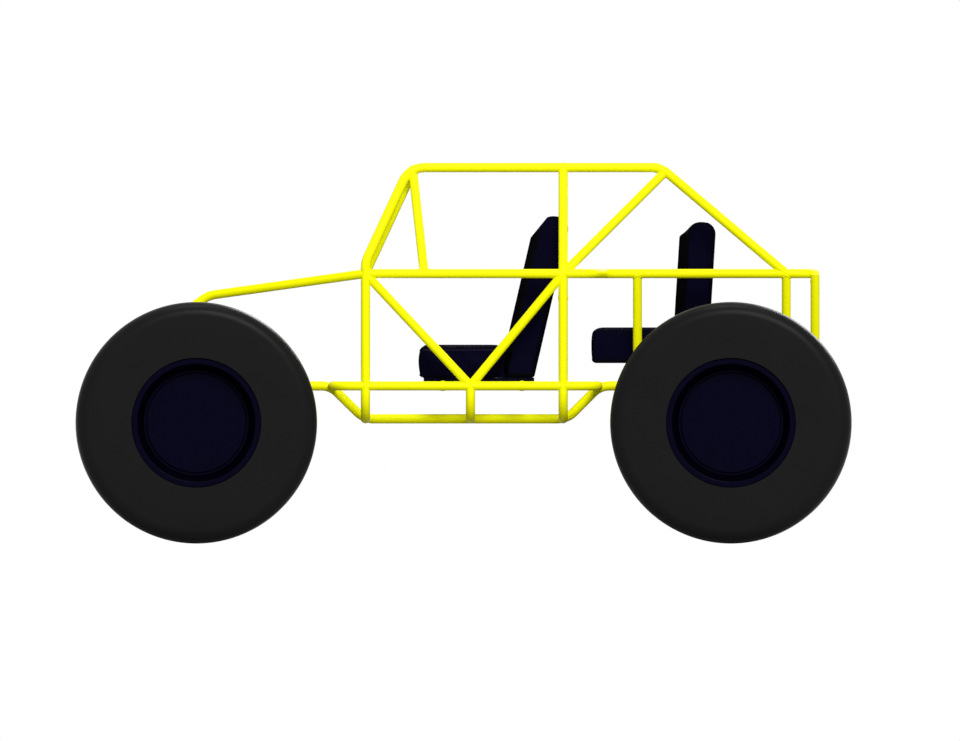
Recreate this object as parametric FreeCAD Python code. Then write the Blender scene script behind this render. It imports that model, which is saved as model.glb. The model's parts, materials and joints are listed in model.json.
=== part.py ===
"""Long-travel dune buggy: a bare tube frame on four very large tyres, with bucket seats and a rear engine.

X runs from nose to tail, Y from the left side to the right and Z up, in millimetres.
The origin lies on the ground, midway between the axles.
"""
import FreeCAD, Part
import math
import os
from FreeCAD import Vector

# Overall layout
wheelbase = 2566.0
track = 1880.0
tyre_diameter = 1160.0
tyre_width = 420.0

# Frame tubes and the bends in them
rail_diameter = 45.0
hoop_diameter = 44.5
belt_diameter = 44.0
cross_diameter = 43.5
brace_diameter = 43.0
rail_bend = 110.0
hoop_bend = 120.0
cage_bend = 115.0
turn_bend = 85.0
end_run_share = 0.95
keep_share = 0.04

# Heights of the tube centres above the ground
roof_height = 1805.0
belt_height = 1296.0
sill_height = 757.0
belly_height = 599.0

# Half widths, from the middle of the buggy to the tube centres
cab_half_width = 700.0
roof_half_width = 560.0
rail_half_width = 400.0

# Places along the buggy, measured back from the middle of the wheelbase
front_post_x = -471.0
middle_post_x = 33.0
main_hoop_x = 478.0
rear_post_x = 834.5
engine_post_x = 1549.0
tail_x = 1687.0
roof_front_x = -261.0
roof_rear_x = 947.5
nose_x = -1700.0
sill_front_x = -629.0
sill_rear_x = 645.0
drop_front_x = -638.0
drop_rear_x = 654.0
belly_front_x = -477.0
belly_rear_x = 497.0
belt_turn_x = 612.0
belt_step = 78.0

# Windscreen pillar, vent strut and hood
pillar_foot_height = 1352.0
roof_tube_drop = 14.0
roof_tube_back = 20.0
vent_top_back = 18.0
vent_foot_x = -189.0
strut_drop = 21.0
windscreen_brace_foot_y = 560.0
windscreen_brace_top_y = 480.0
roof_brace_back = 19.5
hood_bend_x = -1225.0
hood_bend_height = 1191.0
hood_bend = 120.0
nose_bend_x = -1625.0
nose_bend_height = 905.0
nose_foot_x = -1675.0

# Seats
front_seat_width = 480.0
front_seat_offset = 330.0
cushion_front_x = -216.5
cushion_rear_x = 345.0
cushion_bottom = 797.0
cushion_top = 955.0
pan_front_x = -192.0
pan_rear_x = 339.0
back_bar_gap = 28.8275
back_thickness = 168.0
back_headroom = 233.0
shoulder_drop = 103.0
shoulder_run = 84.0
back_crown = 62.0
seat_edge = 14.0
cushion_edge = 24.0
seat_tube_xs = (-100.0, 280.0)
seat_bar_height = 1180.0
rear_cushion_front_x = 613.0
rear_cushion_bottom = 867.0
rear_cushion_top = 1038.0
rear_seat_width = 780.0
rear_back_x = 1009.0
rear_back_thickness = 173.0
rear_back_lean = 3.5
rear_back_headroom = 261.0
rear_crown = 58.0
rear_support_x = 1100.0
stub_share = 0.7
soft_gap = 0.6

# Wheels: radii and places across the wheel, outwards from the tyre's middle plane
tyre_shoulder = 66.0
rim_lip_radius = 311.5
rim_seat_radius = 302.0
rim_bore_radius = 290.0
lip_inner_radius = 283.0
disc_radius = 242.0
rim_half_width = 200.0
lip_thickness = 12.0
disc_depth = 95.0
disc_thickness = 12.0
disc_step = 9.0
disc_edge = 7.0
lip_edge = 5.0

# Hubs, knuckles and front axle
kingpin_offset = 180.0
hub_radius = 80.0
hub_length = 120.0
spindle_radius = 25.0
stub_radius = 33.0
stub_clear = 14.0
drum_radius = 150.0
drum_length = 60.0
knuckle_radius = 34.0
knuckle_height = 110.0
kingpin_radius = 14.0
yoke_thickness = 28.0
yoke_gap = 1.0
fit_gap = 0.3
beam_radius = 42.0
yoke_stand_off = 62.0
arm_reach = 165.0
arm_radius = 22.0
arm_thickness = 24.0
tie_rod_radius = 12.0
tie_pin_radius = 9.0
tie_eye_height = 26.0
floor_thickness = 4.0

# Front leaf springs
spring_offset = 385.0
spring_half_length = 400.0
spring_eye_height = 715.0
spring_sag = 50.0
spring_clear = 60.0
leaf_width = 60.0
leaf_thickness = 9.0
leaf_shares = (1.0, 0.72, 0.5, 0.3)
perch_length = 130.0
spring_eye_radius = 17.0
spring_pin_radius = 7.0
cheek_thickness = 8.0

# Gearbox, turned about the crank line
gearbox_width = 250.0
bell_x = 1385.0
bell_radius = 140.0
bell_length = 55.0
case_radius = 98.0
case_nose_radius = 68.0
case_length = 330.0
nose_length = 60.0
nose_radius = 42.0
diff_radius = 100.0
diff_cover_radius = 88.0
diff_cover_depth = 22.0
rib_count = 8
rib_thickness = 10.0
saddle_length = 70.0
saddle_width = 90.0

# Open flat four engine: case, cylinders, heads, pulleys and belt
crank_rise = 50.0
case_block_length = 215.0
case_block_half_width = 98.0
case_block_rise = 85.0
case_block_drop = 88.0
case_chamfer = 38.0
flange_thickness = 12.0
sump_half_width = 70.0
sump_length = 160.0
sump_depth = 30.0
sump_fins = 7
cylinder_pitch = 108.0
barrel_radius = 43.0
fin_radius = 52.0
fin_count = 8
cylinder_length = 107.0
head_length = 204.0
head_depth = 62.0
head_half_height = 50.0
head_slots = 4
head_slot_depth = 17.0
cover_length = 188.0
cover_height = 78.0
cover_depth = 28.0
cover_corner = 24.0
cover_lip = 5.0
pulley_radius = 74.0
pulley_groove = 9.0
pulley_width = 20.0
pulley_stand_off = 12.0
shaft_radius = 17.0
alternator_rise = 225.0
alternator_radius = 50.0
alternator_pulley_radius = 40.0
stand_length = 60.0
stand_width = 56.0
belt_thickness = 7.0
belt_width = 10.0

# Fan shroud over the cylinders
shroud_front = 14.0
shroud_depth = 96.0
shroud_half_width = 258.0
shroud_foot_rise = 56.0
shroud_shoulder_rise = 118.0
shroud_crown_rise = 345.0
shroud_crown_half_width = 122.0
shroud_crown_bend = 88.0
shroud_corner = 26.0
fan_radius = 96.0
fan_depth = 46.0
fan_hub_radius = 34.0
fan_blades = 12
fan_blade_thickness = 4.0

# Carburettors and air cleaners over the heads
intake_back = 62.0
runner_radius = 21.0
runner_height = 62.0
carburettor_length = 62.0
carburettor_width = 74.0
carburettor_height = 84.0
bowl_radius = 24.0
cleaner_radius = 52.0
cleaner_height = 62.0
cleaner_lid = 9.0
cleaner_lid_lip = 4.0

# Exhaust
port_inset = 31.0
pipe_radius = 19.0
pipe_bend = 42.0
upper_pipe_drop = 132.0
lower_pipe_drop = 192.0
muffler_radius = 60.0
muffler_half_width = 290.0
muffler_back = 52.0
tail_pipe_reach = 46.0
tail_pipe_out = 34.0

# Engine hanger on the tail tube
hanger_thickness = 10.0
hanger_half_width = 128.0
hanger_height = 62.0
hanger_arm = 14.0

# Rear running gear
axle_tube_radius = 38.0
carrier_inset = 235.0
carrier_radius = 70.0
carrier_length = 50.0
pivot_x = 778.0
pivot_y = 470.0
pivot_radius = 28.0
arm_tube_radius = 25.0
damper_y = 560.0
damper_pin_radius = 12.0
damper_top_height = 1000.0
damper_body_radius = 26.0
damper_rod_radius = 9.0
damper_body_share = 0.46
damper_eye_radius = 24.0
spring_seat_radius = 46.0
spring_seat_thickness = 7.0
spring_low_share = 0.2
spring_high_share = 0.86

# Tow tabs
tab_thickness = 12.0
tab_radius = 32.0
tab_bore_radius = 11.5
tab_reach = 60.0
tab_offset = 150.0
cut_overrun = 5.0

# Sizes that follow from those above
rail_radius = rail_diameter / 2
hoop_radius = hoop_diameter / 2
belt_radius = belt_diameter / 2
cross_radius = cross_diameter / 2
brace_radius = brace_diameter / 2
axle_height = tyre_diameter / 2
back_top = roof_height - back_headroom
rear_back_top = roof_height - rear_back_headroom
back_reach = main_hoop_x - cross_radius - back_bar_gap - pan_rear_x
back_lean = math.degrees(math.atan(back_reach / (seat_bar_height - cushion_bottom)))
front_axle_x = -wheelbase / 2
rear_axle_x = wheelbase / 2
wheel_plane = track / 2
kingpin_y = wheel_plane - kingpin_offset
nose_cross_x = nose_x + rail_radius + spring_clear
tail_cross_x = tail_x - rail_radius
seat_tube_top = sill_height + cross_radius
disc_out = rim_half_width - disc_depth
crank_height = axle_height + crank_rise
engine_x = bell_x + case_block_length / 2
engine_rear_x = bell_x + case_block_length
head_y = case_block_half_width + cylinder_length
intake_x = engine_x + intake_back
alternator_height = crank_height + alternator_rise
belt_x = engine_rear_x + pulley_stand_off + pulley_width / 2
disc_in = disc_out - disc_thickness
hub_in = disc_in - hub_length
spindle_tip_y = wheel_plane + disc_in - disc_thickness - fit_gap - cut_overrun
LEFT, RIGHT = -1, 1
SIDES = (LEFT, RIGHT)
ACROSS = Vector(0, 1, 0)
UP = Vector(0, 0, 1)
AHEAD = Vector(1, 0, 0)


def path(points, bend):
    """A wire of straight runs joined by tangent arcs of one radius, or tighter where a run is short."""
    edges = []
    start = points[0]
    for before, corner, after in zip(points, points[1:], points[2:]):
        back = before - corner
        ahead = after - corner
        rooms = [run.Length * (end_run_share if end in (points[0], points[-1]) else 0.5)
                 for run, end in ((back, before), (ahead, after))]
        half_turn = back.getAngle(ahead) / 2
        reach = min(bend / math.tan(half_turn), *rooms)
        radius = reach * math.tan(half_turn)
        back.normalize()
        ahead.normalize()
        enter = corner + back * reach
        leave = corner + ahead * reach
        middle = corner + (back + ahead).normalize() * (radius / math.sin(half_turn) - radius)
        edges.append(Part.LineSegment(start, enter).toShape())
        edges.append(Part.Arc(enter, middle, leave).toShape())
        start = leave
    edges.append(Part.LineSegment(start, points[-1]).toShape())
    return Part.Wire(edges)


def rod(start, end, radius):
    """A straight round bar between two points."""
    along = end - start
    return Part.makeCylinder(radius, along.Length, start, along)


def tube(points, radius, bend):
    """A bent tube along a list of corner points."""
    if len(points) == 2:
        return rod(points[0], points[1], radius)
    section = Part.Wire(Part.Circle(points[0], (points[1] - points[0]).normalize(), radius).toShape())
    return path(points, bend).makePipeShell([section], True, False)


def near(piece, others):
    """The shapes whose boxes reach the box of a piece."""
    return [other for other in others if piece.BoundBox.intersect(other.BoundBox)]


def coped(piece, others):
    """The piece cut to sit against the tubes that it meets, without the slivers left past them."""
    cut = piece.cut(Part.makeCompound(near(piece, others)))
    largest = max(solid.Volume for solid in cut.Solids)
    kept = [solid for solid in cut.Solids if solid.Volume > keep_share * largest]
    return Part.makeCompound(kept)


def biggest(piece, others):
    """The largest piece that is left after a cut."""
    cut = piece.cut(Part.makeCompound(near(piece, others)))
    return max(cut.Solids, key=lambda solid: solid.Volume)


def mirrored(shape):
    """The same shape on the other side of the buggy."""
    return shape.mirror(Vector(0, 0, 0), ACROSS)


def pair(shape):
    """A left piece with its right twin."""
    return Part.makeCompound(shape.Solids + mirrored(shape).Solids)


def gathered(shapes):
    """One compound of all the solids in a list of shapes."""
    return Part.makeCompound([solid for shape in shapes for solid in shape.Solids])


# The frame, whose right half is drawn and mirrored

def main_rail():
    """Lower rail: level nose, drop to the belly, rise again and level tail."""
    y = rail_half_width
    return tube([
        Vector(nose_x, y, sill_height),
        Vector(drop_front_x, y, sill_height),
        Vector(belly_front_x, y, belly_height),
        Vector(belly_rear_x, y, belly_height),
        Vector(drop_rear_x, y, sill_height),
        Vector(tail_x, y, sill_height),
    ], rail_radius, rail_bend)


def side_hoop():
    """Windscreen pillar, roof rail and rear down-tube in one length."""
    return tube([
        Vector(front_post_x, cab_half_width, belt_height + belt_radius),
        Vector(front_post_x, cab_half_width, pillar_foot_height),
        Vector(roof_front_x, roof_half_width, roof_height),
        Vector(roof_rear_x, roof_half_width, roof_height),
        Vector(engine_post_x, roof_half_width, belt_height),
    ], rail_radius, cage_bend)


def floor_hoop(x, top):
    """Half of a hoop that stands beside the cab and passes under the floor."""
    return tube([
        Vector(x, 0, belly_height),
        Vector(x, cab_half_width, belly_height),
        Vector(x, cab_half_width, top),
    ], hoop_radius, hoop_bend)


def main_hoop_half():
    """Half of the hoop behind the front seats, which leans in above the belt."""
    return tube([
        Vector(main_hoop_x, 0, belly_height),
        Vector(main_hoop_x, cab_half_width, belly_height),
        Vector(main_hoop_x, cab_half_width, belt_height),
        Vector(main_hoop_x, roof_half_width, roof_height),
    ], hoop_radius, hoop_bend)


def belt_rail():
    """Rail at elbow height that steps in behind the cab and turns across the tail."""
    return tube([
        Vector(front_post_x, cab_half_width, belt_height),
        Vector(belt_turn_x, cab_half_width, belt_height),
        Vector(belt_turn_x + belt_step, roof_half_width, belt_height),
        Vector(tail_x, roof_half_width, belt_height),
        Vector(tail_x, 0, belt_height),
    ], belt_radius, turn_bend)


def sill_rail():
    """Outer rail under the doors, turned in at both ends to the main rail."""
    return tube([
        Vector(sill_front_x, rail_half_width, sill_height),
        Vector(sill_front_x, cab_half_width, sill_height),
        Vector(sill_rear_x, cab_half_width, sill_height),
        Vector(sill_rear_x, rail_half_width, sill_height),
    ], belt_radius, turn_bend)


def hood_tube():
    """Tube from the top of the front post over the nose and down to the main rail."""
    return tube([
        Vector(front_post_x, cab_half_width, belt_height),
        Vector(hood_bend_x, rail_half_width, hood_bend_height),
        Vector(nose_bend_x, rail_half_width, nose_bend_height),
        Vector(nose_foot_x, rail_half_width, sill_height),
    ], cross_radius, hood_bend)


def side_braces(welded):
    """The V of two tubes in each door opening, meeting on the sill over the middle hoop."""
    foot = Vector(middle_post_x, cab_half_width, sill_height)
    ahead = rod(Vector(front_post_x, cab_half_width, belt_height), foot, brace_radius)
    behind = rod(foot, Vector(main_hoop_x, cab_half_width, belt_height), brace_radius)
    first = biggest(ahead, welded)
    return gathered([first, biggest(behind, welded + [first])])


def rear_posts(welded):
    """Three posts between the belt rail and the main rail."""
    posts = []
    for x in (rear_post_x, engine_post_x, tail_x):
        top = Vector(x, roof_half_width, belt_height)
        foot = Vector(x, rail_half_width, sill_height)
        posts.append(biggest(rod(top, foot, brace_radius), welded))
    return gathered(posts)


def strut(start, end, welded):
    """One straight brace between two tube centres."""
    return biggest(rod(start, end, brace_radius), welded)


def across(x, z, half_width, welded, radius=cross_radius):
    """A straight tube across the buggy from one side frame to the other."""
    return biggest(rod(Vector(x, -half_width, z), Vector(x, half_width, z), radius), welded)


def cross_tubes(welded):
    """Straight tubes across the buggy, where the side frames are tied together."""
    places = [
        (front_post_x, belt_height, cab_half_width),
        (roof_front_x + roof_tube_back, roof_height - roof_tube_drop, roof_half_width),
        (main_hoop_x, roof_height, roof_half_width),
        (main_hoop_x, seat_bar_height, cab_half_width),
        (roof_rear_x - roof_tube_back, roof_height, roof_half_width),
        (nose_cross_x, sill_height, rail_half_width),
        (tail_cross_x, sill_height, rail_half_width),
    ]
    places += [(x, sill_height, cab_half_width) for x in seat_tube_xs]
    return [across(x, z, half_width, welded) for x, z, half_width in places]


def frame_nodes():
    """All tubes of the frame, each cut to the ones that it is welded to."""
    rail = main_rail()
    cage = side_hoop()
    post_top = belt_height + belt_radius
    front = coped(floor_hoop(front_post_x, post_top), [rail])
    main = coped(main_hoop_half(), [rail, cage])
    belt = coped(belt_rail(), [front, main, cage])
    sill = coped(sill_rail(), [rail, front, main])
    middle = coped(floor_hoop(middle_post_x, sill_height), [rail, sill])
    hood = biggest(hood_tube(), [rail, front, belt])
    half = [rail, cage, front, main, belt, sill, middle, hood]
    crosses = cross_tubes(half + [mirrored(shape) for shape in half])
    welded = half + crosses
    windscreen = strut(
        Vector(front_post_x, windscreen_brace_foot_y, belt_height),
        Vector(roof_front_x + roof_tube_back, windscreen_brace_top_y, roof_height - roof_tube_drop), welded)
    vent = strut(
        Vector(roof_front_x + vent_top_back, roof_half_width, roof_height - strut_drop),
        Vector(vent_foot_x, cab_half_width, belt_height), welded)
    roof = strut(
        Vector(main_hoop_x, cab_half_width, belt_height),
        Vector(roof_rear_x + roof_brace_back, roof_half_width, roof_height - strut_drop), welded)
    nodes = {}
    for name, shape in (("main_rail", rail), ("side_hoop", cage), ("belt_rail", belt),
                        ("sill_rail", sill), ("hood_tube", hood)):
        nodes[name + "_left"] = mirrored(shape)
        nodes[name + "_right"] = shape
    for name, shape in (("front_hoop", front), ("middle_hoop", middle), ("main_hoop", main),
                        ("cage_braces", gathered([windscreen, vent, roof])),
                        ("side_braces", side_braces(welded)), ("rear_posts", rear_posts(welded))):
        nodes[name] = pair(shape)
    nodes["cross_tubes"] = gathered(crosses)
    return nodes


# The seats

def outline(points, bends):
    """A closed flat wire through corner points, each rounded by its own radius or left sharp at zero."""
    count = len(points)
    edges = []
    ends = []
    for index, corner in enumerate(points):
        back = (points[index - 1] - corner).normalize()
        ahead = (points[(index + 1) % count] - corner).normalize()
        half_turn = back.getAngle(ahead) / 2
        reach = bends[index] / math.tan(half_turn)
        middle = corner + (back + ahead).normalize() * (bends[index] / math.sin(half_turn) - bends[index])
        ends.append((corner + back * reach, middle, corner + ahead * reach))
    for index, (enter, middle, leave) in enumerate(ends):
        if bends[index]:
            edges.append(Part.Arc(enter, middle, leave).toShape())
        edges.append(Part.LineSegment(leave, ends[(index + 1) % count][0]).toShape())
    return Part.Wire(edges)


def padded(points, bends, centre_y, width):
    """A soft block with a rounded side outline, as wide as the seat."""
    low = centre_y - width / 2
    wire = outline([Vector(x, low, z) for x, z in points], bends)
    return Part.Face(wire).extrude(Vector(0, width, 0))


def front_back(front_x):
    """Right front backrest: leaning, with a shoulder cut off its front edge and a round top."""
    slope = math.tan(math.radians(back_lean))
    deep = back_thickness / math.cos(math.radians(back_lean))
    shoulder = back_top - shoulder_drop - cushion_bottom
    rise = back_top - cushion_bottom
    points = [
        (front_x, cushion_bottom),
        (front_x + deep, cushion_bottom),
        (front_x + deep + rise * slope, back_top),
        (front_x + shoulder * slope + shoulder_run, back_top),
        (front_x + shoulder * slope, back_top - shoulder_drop),
    ]
    bends = [seat_edge, seat_edge, back_crown, seat_edge, seat_edge]
    return padded(points, bends, front_seat_offset, front_seat_width)


def seat_back(front_x, foot_z, top_z, lean, thickness, centre_y, width, crown):
    """A leaning backrest whose foot stands at a height and whose front face starts at a place."""
    slope = math.tan(math.radians(lean))
    shift = (top_z - foot_z) * slope
    deep = thickness / math.cos(math.radians(lean))
    points = [
        (front_x, foot_z),
        (front_x + deep, foot_z),
        (front_x + deep + shift, top_z),
        (front_x + shift, top_z),
    ]
    return padded(points, [seat_edge, seat_edge, crown, crown], centre_y, width)


def seat_nodes():
    """Cushions, backs and pans of the two front seats and the rear seat."""
    nodes = {}
    height = cushion_top - cushion_bottom
    slope = math.tan(math.radians(back_lean))
    foot_x = pan_rear_x - back_thickness / math.cos(math.radians(back_lean))
    face_x = foot_x - soft_gap
    points = [
        (cushion_front_x, cushion_bottom),
        (face_x, cushion_bottom),
        (face_x + height * slope, cushion_top),
        (cushion_front_x, cushion_top),
    ]
    nodes["front_cushions"] = pair(padded(points, [cushion_edge] * 4, front_seat_offset, front_seat_width))
    nodes["front_backs"] = pair(front_back(foot_x))
    thickness = cushion_bottom - soft_gap - seat_tube_top
    pan = Part.makeBox(pan_rear_x - pan_front_x, front_seat_width, thickness,
                       Vector(pan_front_x, front_seat_offset - front_seat_width / 2, seat_tube_top))
    nodes["seat_pans"] = pair(pan)
    slope = math.tan(math.radians(rear_back_lean))
    foot_x = rear_back_x - (rear_cushion_top - rear_cushion_bottom) * slope
    points = [
        (rear_cushion_front_x, rear_cushion_bottom),
        (foot_x - soft_gap, rear_cushion_bottom),
        (rear_back_x - soft_gap, rear_cushion_top),
        (rear_cushion_front_x, rear_cushion_top),
    ]
    nodes["rear_cushion"] = padded(points, [cushion_edge] * 4, 0, rear_seat_width)
    nodes["rear_back"] = seat_back(foot_x, rear_cushion_bottom, rear_back_top, rear_back_lean,
                                   rear_back_thickness, 0, rear_seat_width, rear_crown)
    return nodes


def rear_seat_frame(welded):
    """Two tubes across under the rear seat, the back one on stubs from a lower tube."""
    z = rear_cushion_bottom - soft_gap - cross_radius
    front = across(rear_post_x, z, roof_half_width, welded, brace_radius)
    low = across(rear_support_x, sill_height, rail_half_width, welded)
    half = rear_seat_width / 2
    high = rod(Vector(rear_support_x, -half, z), Vector(rear_support_x, half, z), cross_radius)
    y = half * stub_share
    stub = rod(Vector(rear_support_x, y, sill_height), Vector(rear_support_x, y, z), brace_radius)
    return gathered([front, low, high, pair(biggest(stub, [low, high]))])


def floor_panels(welded):
    """Sheets between the belly rails, from hoop to hoop."""
    panels = []
    bays = ((front_post_x, middle_post_x), (middle_post_x, main_hoop_x))
    for start, end in bays:
        sheet = Part.makeBox(end - start, 2 * rail_half_width, floor_thickness,
                             Vector(start, -rail_half_width, belly_height - floor_thickness / 2))
        panels.append(biggest(sheet, welded))
    return gathered(panels)


# Wheels

def ring(profile):
    """A solid turned about a wheel's axis from corner points of radius and outward offset."""
    points = [Vector(radius, offset, 0) for radius, offset in profile]
    face = Part.Face(Part.makePolygon(points + points[:1]))
    return face.revolve(Vector(0, 0, 0), ACROSS, 360)


def placed(shape, x, y, z, side):
    """A wheel part moved to its axle and turned to face outwards."""
    if side == LEFT:
        shape = shape.mirror(Vector(0, 0, 0), ACROSS)
    shape = shape.copy()
    shape.translate(Vector(x, y, z))
    return shape


def tyre_shape():
    """Smooth tyre: flat sidewalls, round shoulders and a flat tread, seated on its rim."""
    half = tyre_width / 2
    outer = tyre_diameter / 2
    round_in = half - tyre_shoulder
    round_low = outer - tyre_shoulder
    lift = tyre_shoulder * math.sin(math.radians(45))
    seat = rim_half_width - lip_thickness
    edges = []
    corners = [
        Vector(round_low, -half, 0), Vector(rim_lip_radius, -half, 0), Vector(rim_lip_radius, -seat, 0),
        Vector(rim_seat_radius, -seat, 0), Vector(rim_seat_radius, seat, 0), Vector(rim_lip_radius, seat, 0),
        Vector(rim_lip_radius, half, 0), Vector(round_low, half, 0),
    ]
    for start, end in zip(corners, corners[1:]):
        edges.append(Part.LineSegment(start, end).toShape())
    upper = Part.Arc(corners[-1], Vector(round_low + lift, round_in + lift, 0), Vector(outer, round_in, 0))
    lower = Part.Arc(Vector(outer, -round_in, 0), Vector(round_low + lift, -round_in - lift, 0), corners[0])
    edges.append(upper.toShape())
    edges.append(Part.LineSegment(Vector(outer, round_in, 0), Vector(outer, -round_in, 0)).toShape())
    edges.append(lower.toShape())
    return Part.Face(Part.Wire(edges)).revolve(Vector(0, 0, 0), ACROSS, 360)


def rim_shape():
    """Deep dished rim: an outer lip, a steep wall in to a plain disc, and the barrel behind it."""
    seat = rim_half_width - lip_thickness
    profile = [
        (rim_lip_radius, rim_half_width), (lip_inner_radius, rim_half_width),
        (disc_radius + disc_step, disc_out - disc_step), (disc_radius, disc_out - disc_step),
        (disc_radius, disc_out), (0, disc_out), (0, disc_in), (rim_bore_radius, disc_in),
        (rim_bore_radius, -rim_half_width), (rim_lip_radius, -rim_half_width), (rim_lip_radius, -seat),
        (rim_seat_radius, -seat), (rim_seat_radius, seat), (rim_lip_radius, seat),
    ]
    bends = [lip_edge, lip_edge, 0, 0, disc_edge] + [0] * 9
    wire = outline([Vector(radius, offset, 0) for radius, offset in profile], bends)
    return Part.Face(wire).revolve(Vector(0, 0, 0), ACROSS, 360)


def hub_shape():
    """Hub and brake drum behind the disc, bored for the spindle."""
    drum_out = hub_in + drum_length
    profile = [
        (0, disc_in), (hub_radius, disc_in), (hub_radius, drum_out), (drum_radius, drum_out),
        (drum_radius, hub_in), (0, hub_in),
    ]
    hub = ring(profile)
    depth = hub_length - disc_thickness
    bore = rod(Vector(0, hub_in - cut_overrun, 0), Vector(0, hub_in + depth, 0), spindle_radius + fit_gap)
    return hub.cut(bore)


def wheel_nodes():
    """Four tyres, rims and hubs."""
    nodes = {}
    tyre = tyre_shape()
    wheel = rim_shape().fuse(hub_shape()).removeSplitter()
    for end, x in (("front", front_axle_x), ("rear", rear_axle_x)):
        for name, side in (("left", LEFT), ("right", RIGHT)):
            place = (x, side * wheel_plane, axle_height, side)
            nodes["tyre_%s_%s" % (end, name)] = placed(tyre, *place)
            nodes["wheel_%s_%s" % (end, name)] = placed(wheel, *place)
    return nodes


# Front axle and steering

def spun(profile, place):
    """A solid turned about an upright axis from corner points of radius and height."""
    points = [Vector(radius, 0, height) for radius, height in profile]
    shape = Part.Face(Part.makePolygon(points + points[:1])).revolve(Vector(0, 0, 0), UP, 360)
    shape.translate(place)
    return shape


def knuckle(side):
    """Steering knuckle: a barrel on the kingpin, the spindle for the hub and the arm for the tie rod."""
    y = side * kingpin_y
    centre = Vector(front_axle_x, y, axle_height)
    half = knuckle_height / 2
    pin_half = half + yoke_gap + yoke_thickness
    barrel = spun([
        (0, -pin_half), (kingpin_radius, -pin_half), (kingpin_radius, -half), (knuckle_radius, -half),
        (knuckle_radius, half), (kingpin_radius, half), (kingpin_radius, pin_half), (0, pin_half),
    ], centre)
    tip = Vector(front_axle_x, side * spindle_tip_y, axle_height)
    spindle = rod(centre, tip, spindle_radius)
    shank = wheel_plane + hub_in - stub_clear - kingpin_y
    stub = Part.makeCone(stub_radius, spindle_radius, shank, centre, ACROSS * side)
    end = Vector(front_axle_x + arm_reach, y, axle_height - arm_thickness / 2)
    start = Vector(front_axle_x, y, axle_height - arm_thickness / 2)
    lever = bar_between(start, end, arm_radius, arm_thickness)
    pin_top = axle_height + arm_thickness / 2 + tie_eye_height + tie_pin_radius
    stud = rod(end, Vector(end.x, end.y, pin_top), tie_pin_radius)
    arm = lever.fuse(stud)
    return barrel.fuse(stub).fuse(spindle).fuse(arm).removeSplitter()


def bar_between(start, end, radius, thickness):
    """A flat bar from one upright axis to another, round at its far end."""
    along = (end - start).normalize()
    side = Vector(-along.y, along.x, 0) * radius
    corners = [start + side, end + side, end - side, start - side]
    middle = Part.Face(Part.makePolygon(corners + corners[:1])).extrude(UP * thickness)
    return middle.fuse(Part.makeCylinder(radius, thickness, end, UP)).removeSplitter()


def front_axle():
    """Straight beam axle with a yoke round each kingpin."""
    beam_end = kingpin_y - yoke_stand_off
    axle = rod(Vector(front_axle_x, -beam_end, axle_height), Vector(front_axle_x, beam_end, axle_height),
               beam_radius)
    half = knuckle_height / 2 + yoke_gap
    ears = []
    for side in SIDES:
        inner = Vector(front_axle_x, side * beam_end, axle_height)
        for low in (axle_height + half, axle_height - half - yoke_thickness):
            start = Vector(front_axle_x, side * (beam_end - beam_radius / 2), low)
            end = Vector(front_axle_x, side * kingpin_y, low)
            ears.append(bar_between(start, end, knuckle_radius, yoke_thickness))
        wall = Part.makeBox(2 * knuckle_radius, beam_radius, 2 * (half + yoke_thickness),
                            inner + Vector(-knuckle_radius, -beam_radius / 2 - side * beam_radius / 2,
                                           -half - yoke_thickness))
        ears.append(wall)
    axle = axle.fuse(ears).removeSplitter()
    reach = half + yoke_thickness + cut_overrun
    pins = [rod(Vector(front_axle_x, side * kingpin_y, axle_height - reach),
                Vector(front_axle_x, side * kingpin_y, axle_height + reach), kingpin_radius + fit_gap)
            for side in SIDES]
    return axle.cut(Part.makeCompound(pins))


def tie_rod():
    """Rod across behind the axle with an eye on each steering arm's stud."""
    x = front_axle_x + arm_reach
    y = kingpin_y
    z = axle_height + arm_thickness / 2 + fit_gap
    middle = z + tie_eye_height / 2
    bar = rod(Vector(x, -y, middle), Vector(x, y, middle), tie_rod_radius)
    eyes = [Part.makeCylinder(arm_radius, tie_eye_height, Vector(x, side * y, z), UP) for side in SIDES]
    holes = [Part.makeCylinder(tie_pin_radius + fit_gap, tie_eye_height + 2 * cut_overrun,
                               Vector(x, side * y, z - cut_overrun), UP) for side in SIDES]
    return bar.fuse(eyes).cut(Part.makeCompound(holes)).removeSplitter()


def leaves_and_eyes():
    """The bent leaves of the right spring, and the eyes at the ends of the longest."""
    radius = (spring_half_length ** 2 + spring_sag ** 2) / (2 * spring_sag)
    centre = Vector(front_axle_x, spring_offset - leaf_width / 2, spring_eye_height - spring_sag + radius)
    leaves = []
    for index, share in enumerate(leaf_shares):
        inner = radius + index * leaf_thickness
        spread = math.asin(spring_half_length * share / radius)
        arcs = []
        for bow in (inner, inner + leaf_thickness):
            arcs.append([centre + Vector(math.sin(angle), 0, -math.cos(angle)) * bow
                         for angle in (-spread, 0, spread)])
        (a, b, c), (d, e, f) = arcs
        wire = Part.Wire([
            Part.Arc(a, b, c).toShape(), Part.LineSegment(c, f).toShape(),
            Part.Arc(f, e, d).toShape(), Part.LineSegment(d, a).toShape(),
        ])
        leaves.append(Part.Face(wire).extrude(Vector(0, leaf_width, 0)))
    return leaves + [eye_rod(way, leaf_width / 2, spring_eye_radius) for way in (-1, 1)]


def eye_rod(way, reach, radius):
    """A round bar across the right spring at the middle of its front or rear eye."""
    eye = Vector(front_axle_x + way * spring_half_length, spring_offset, spring_eye_height)
    return rod(eye - ACROSS * reach, eye + ACROSS * reach, radius)


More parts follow.
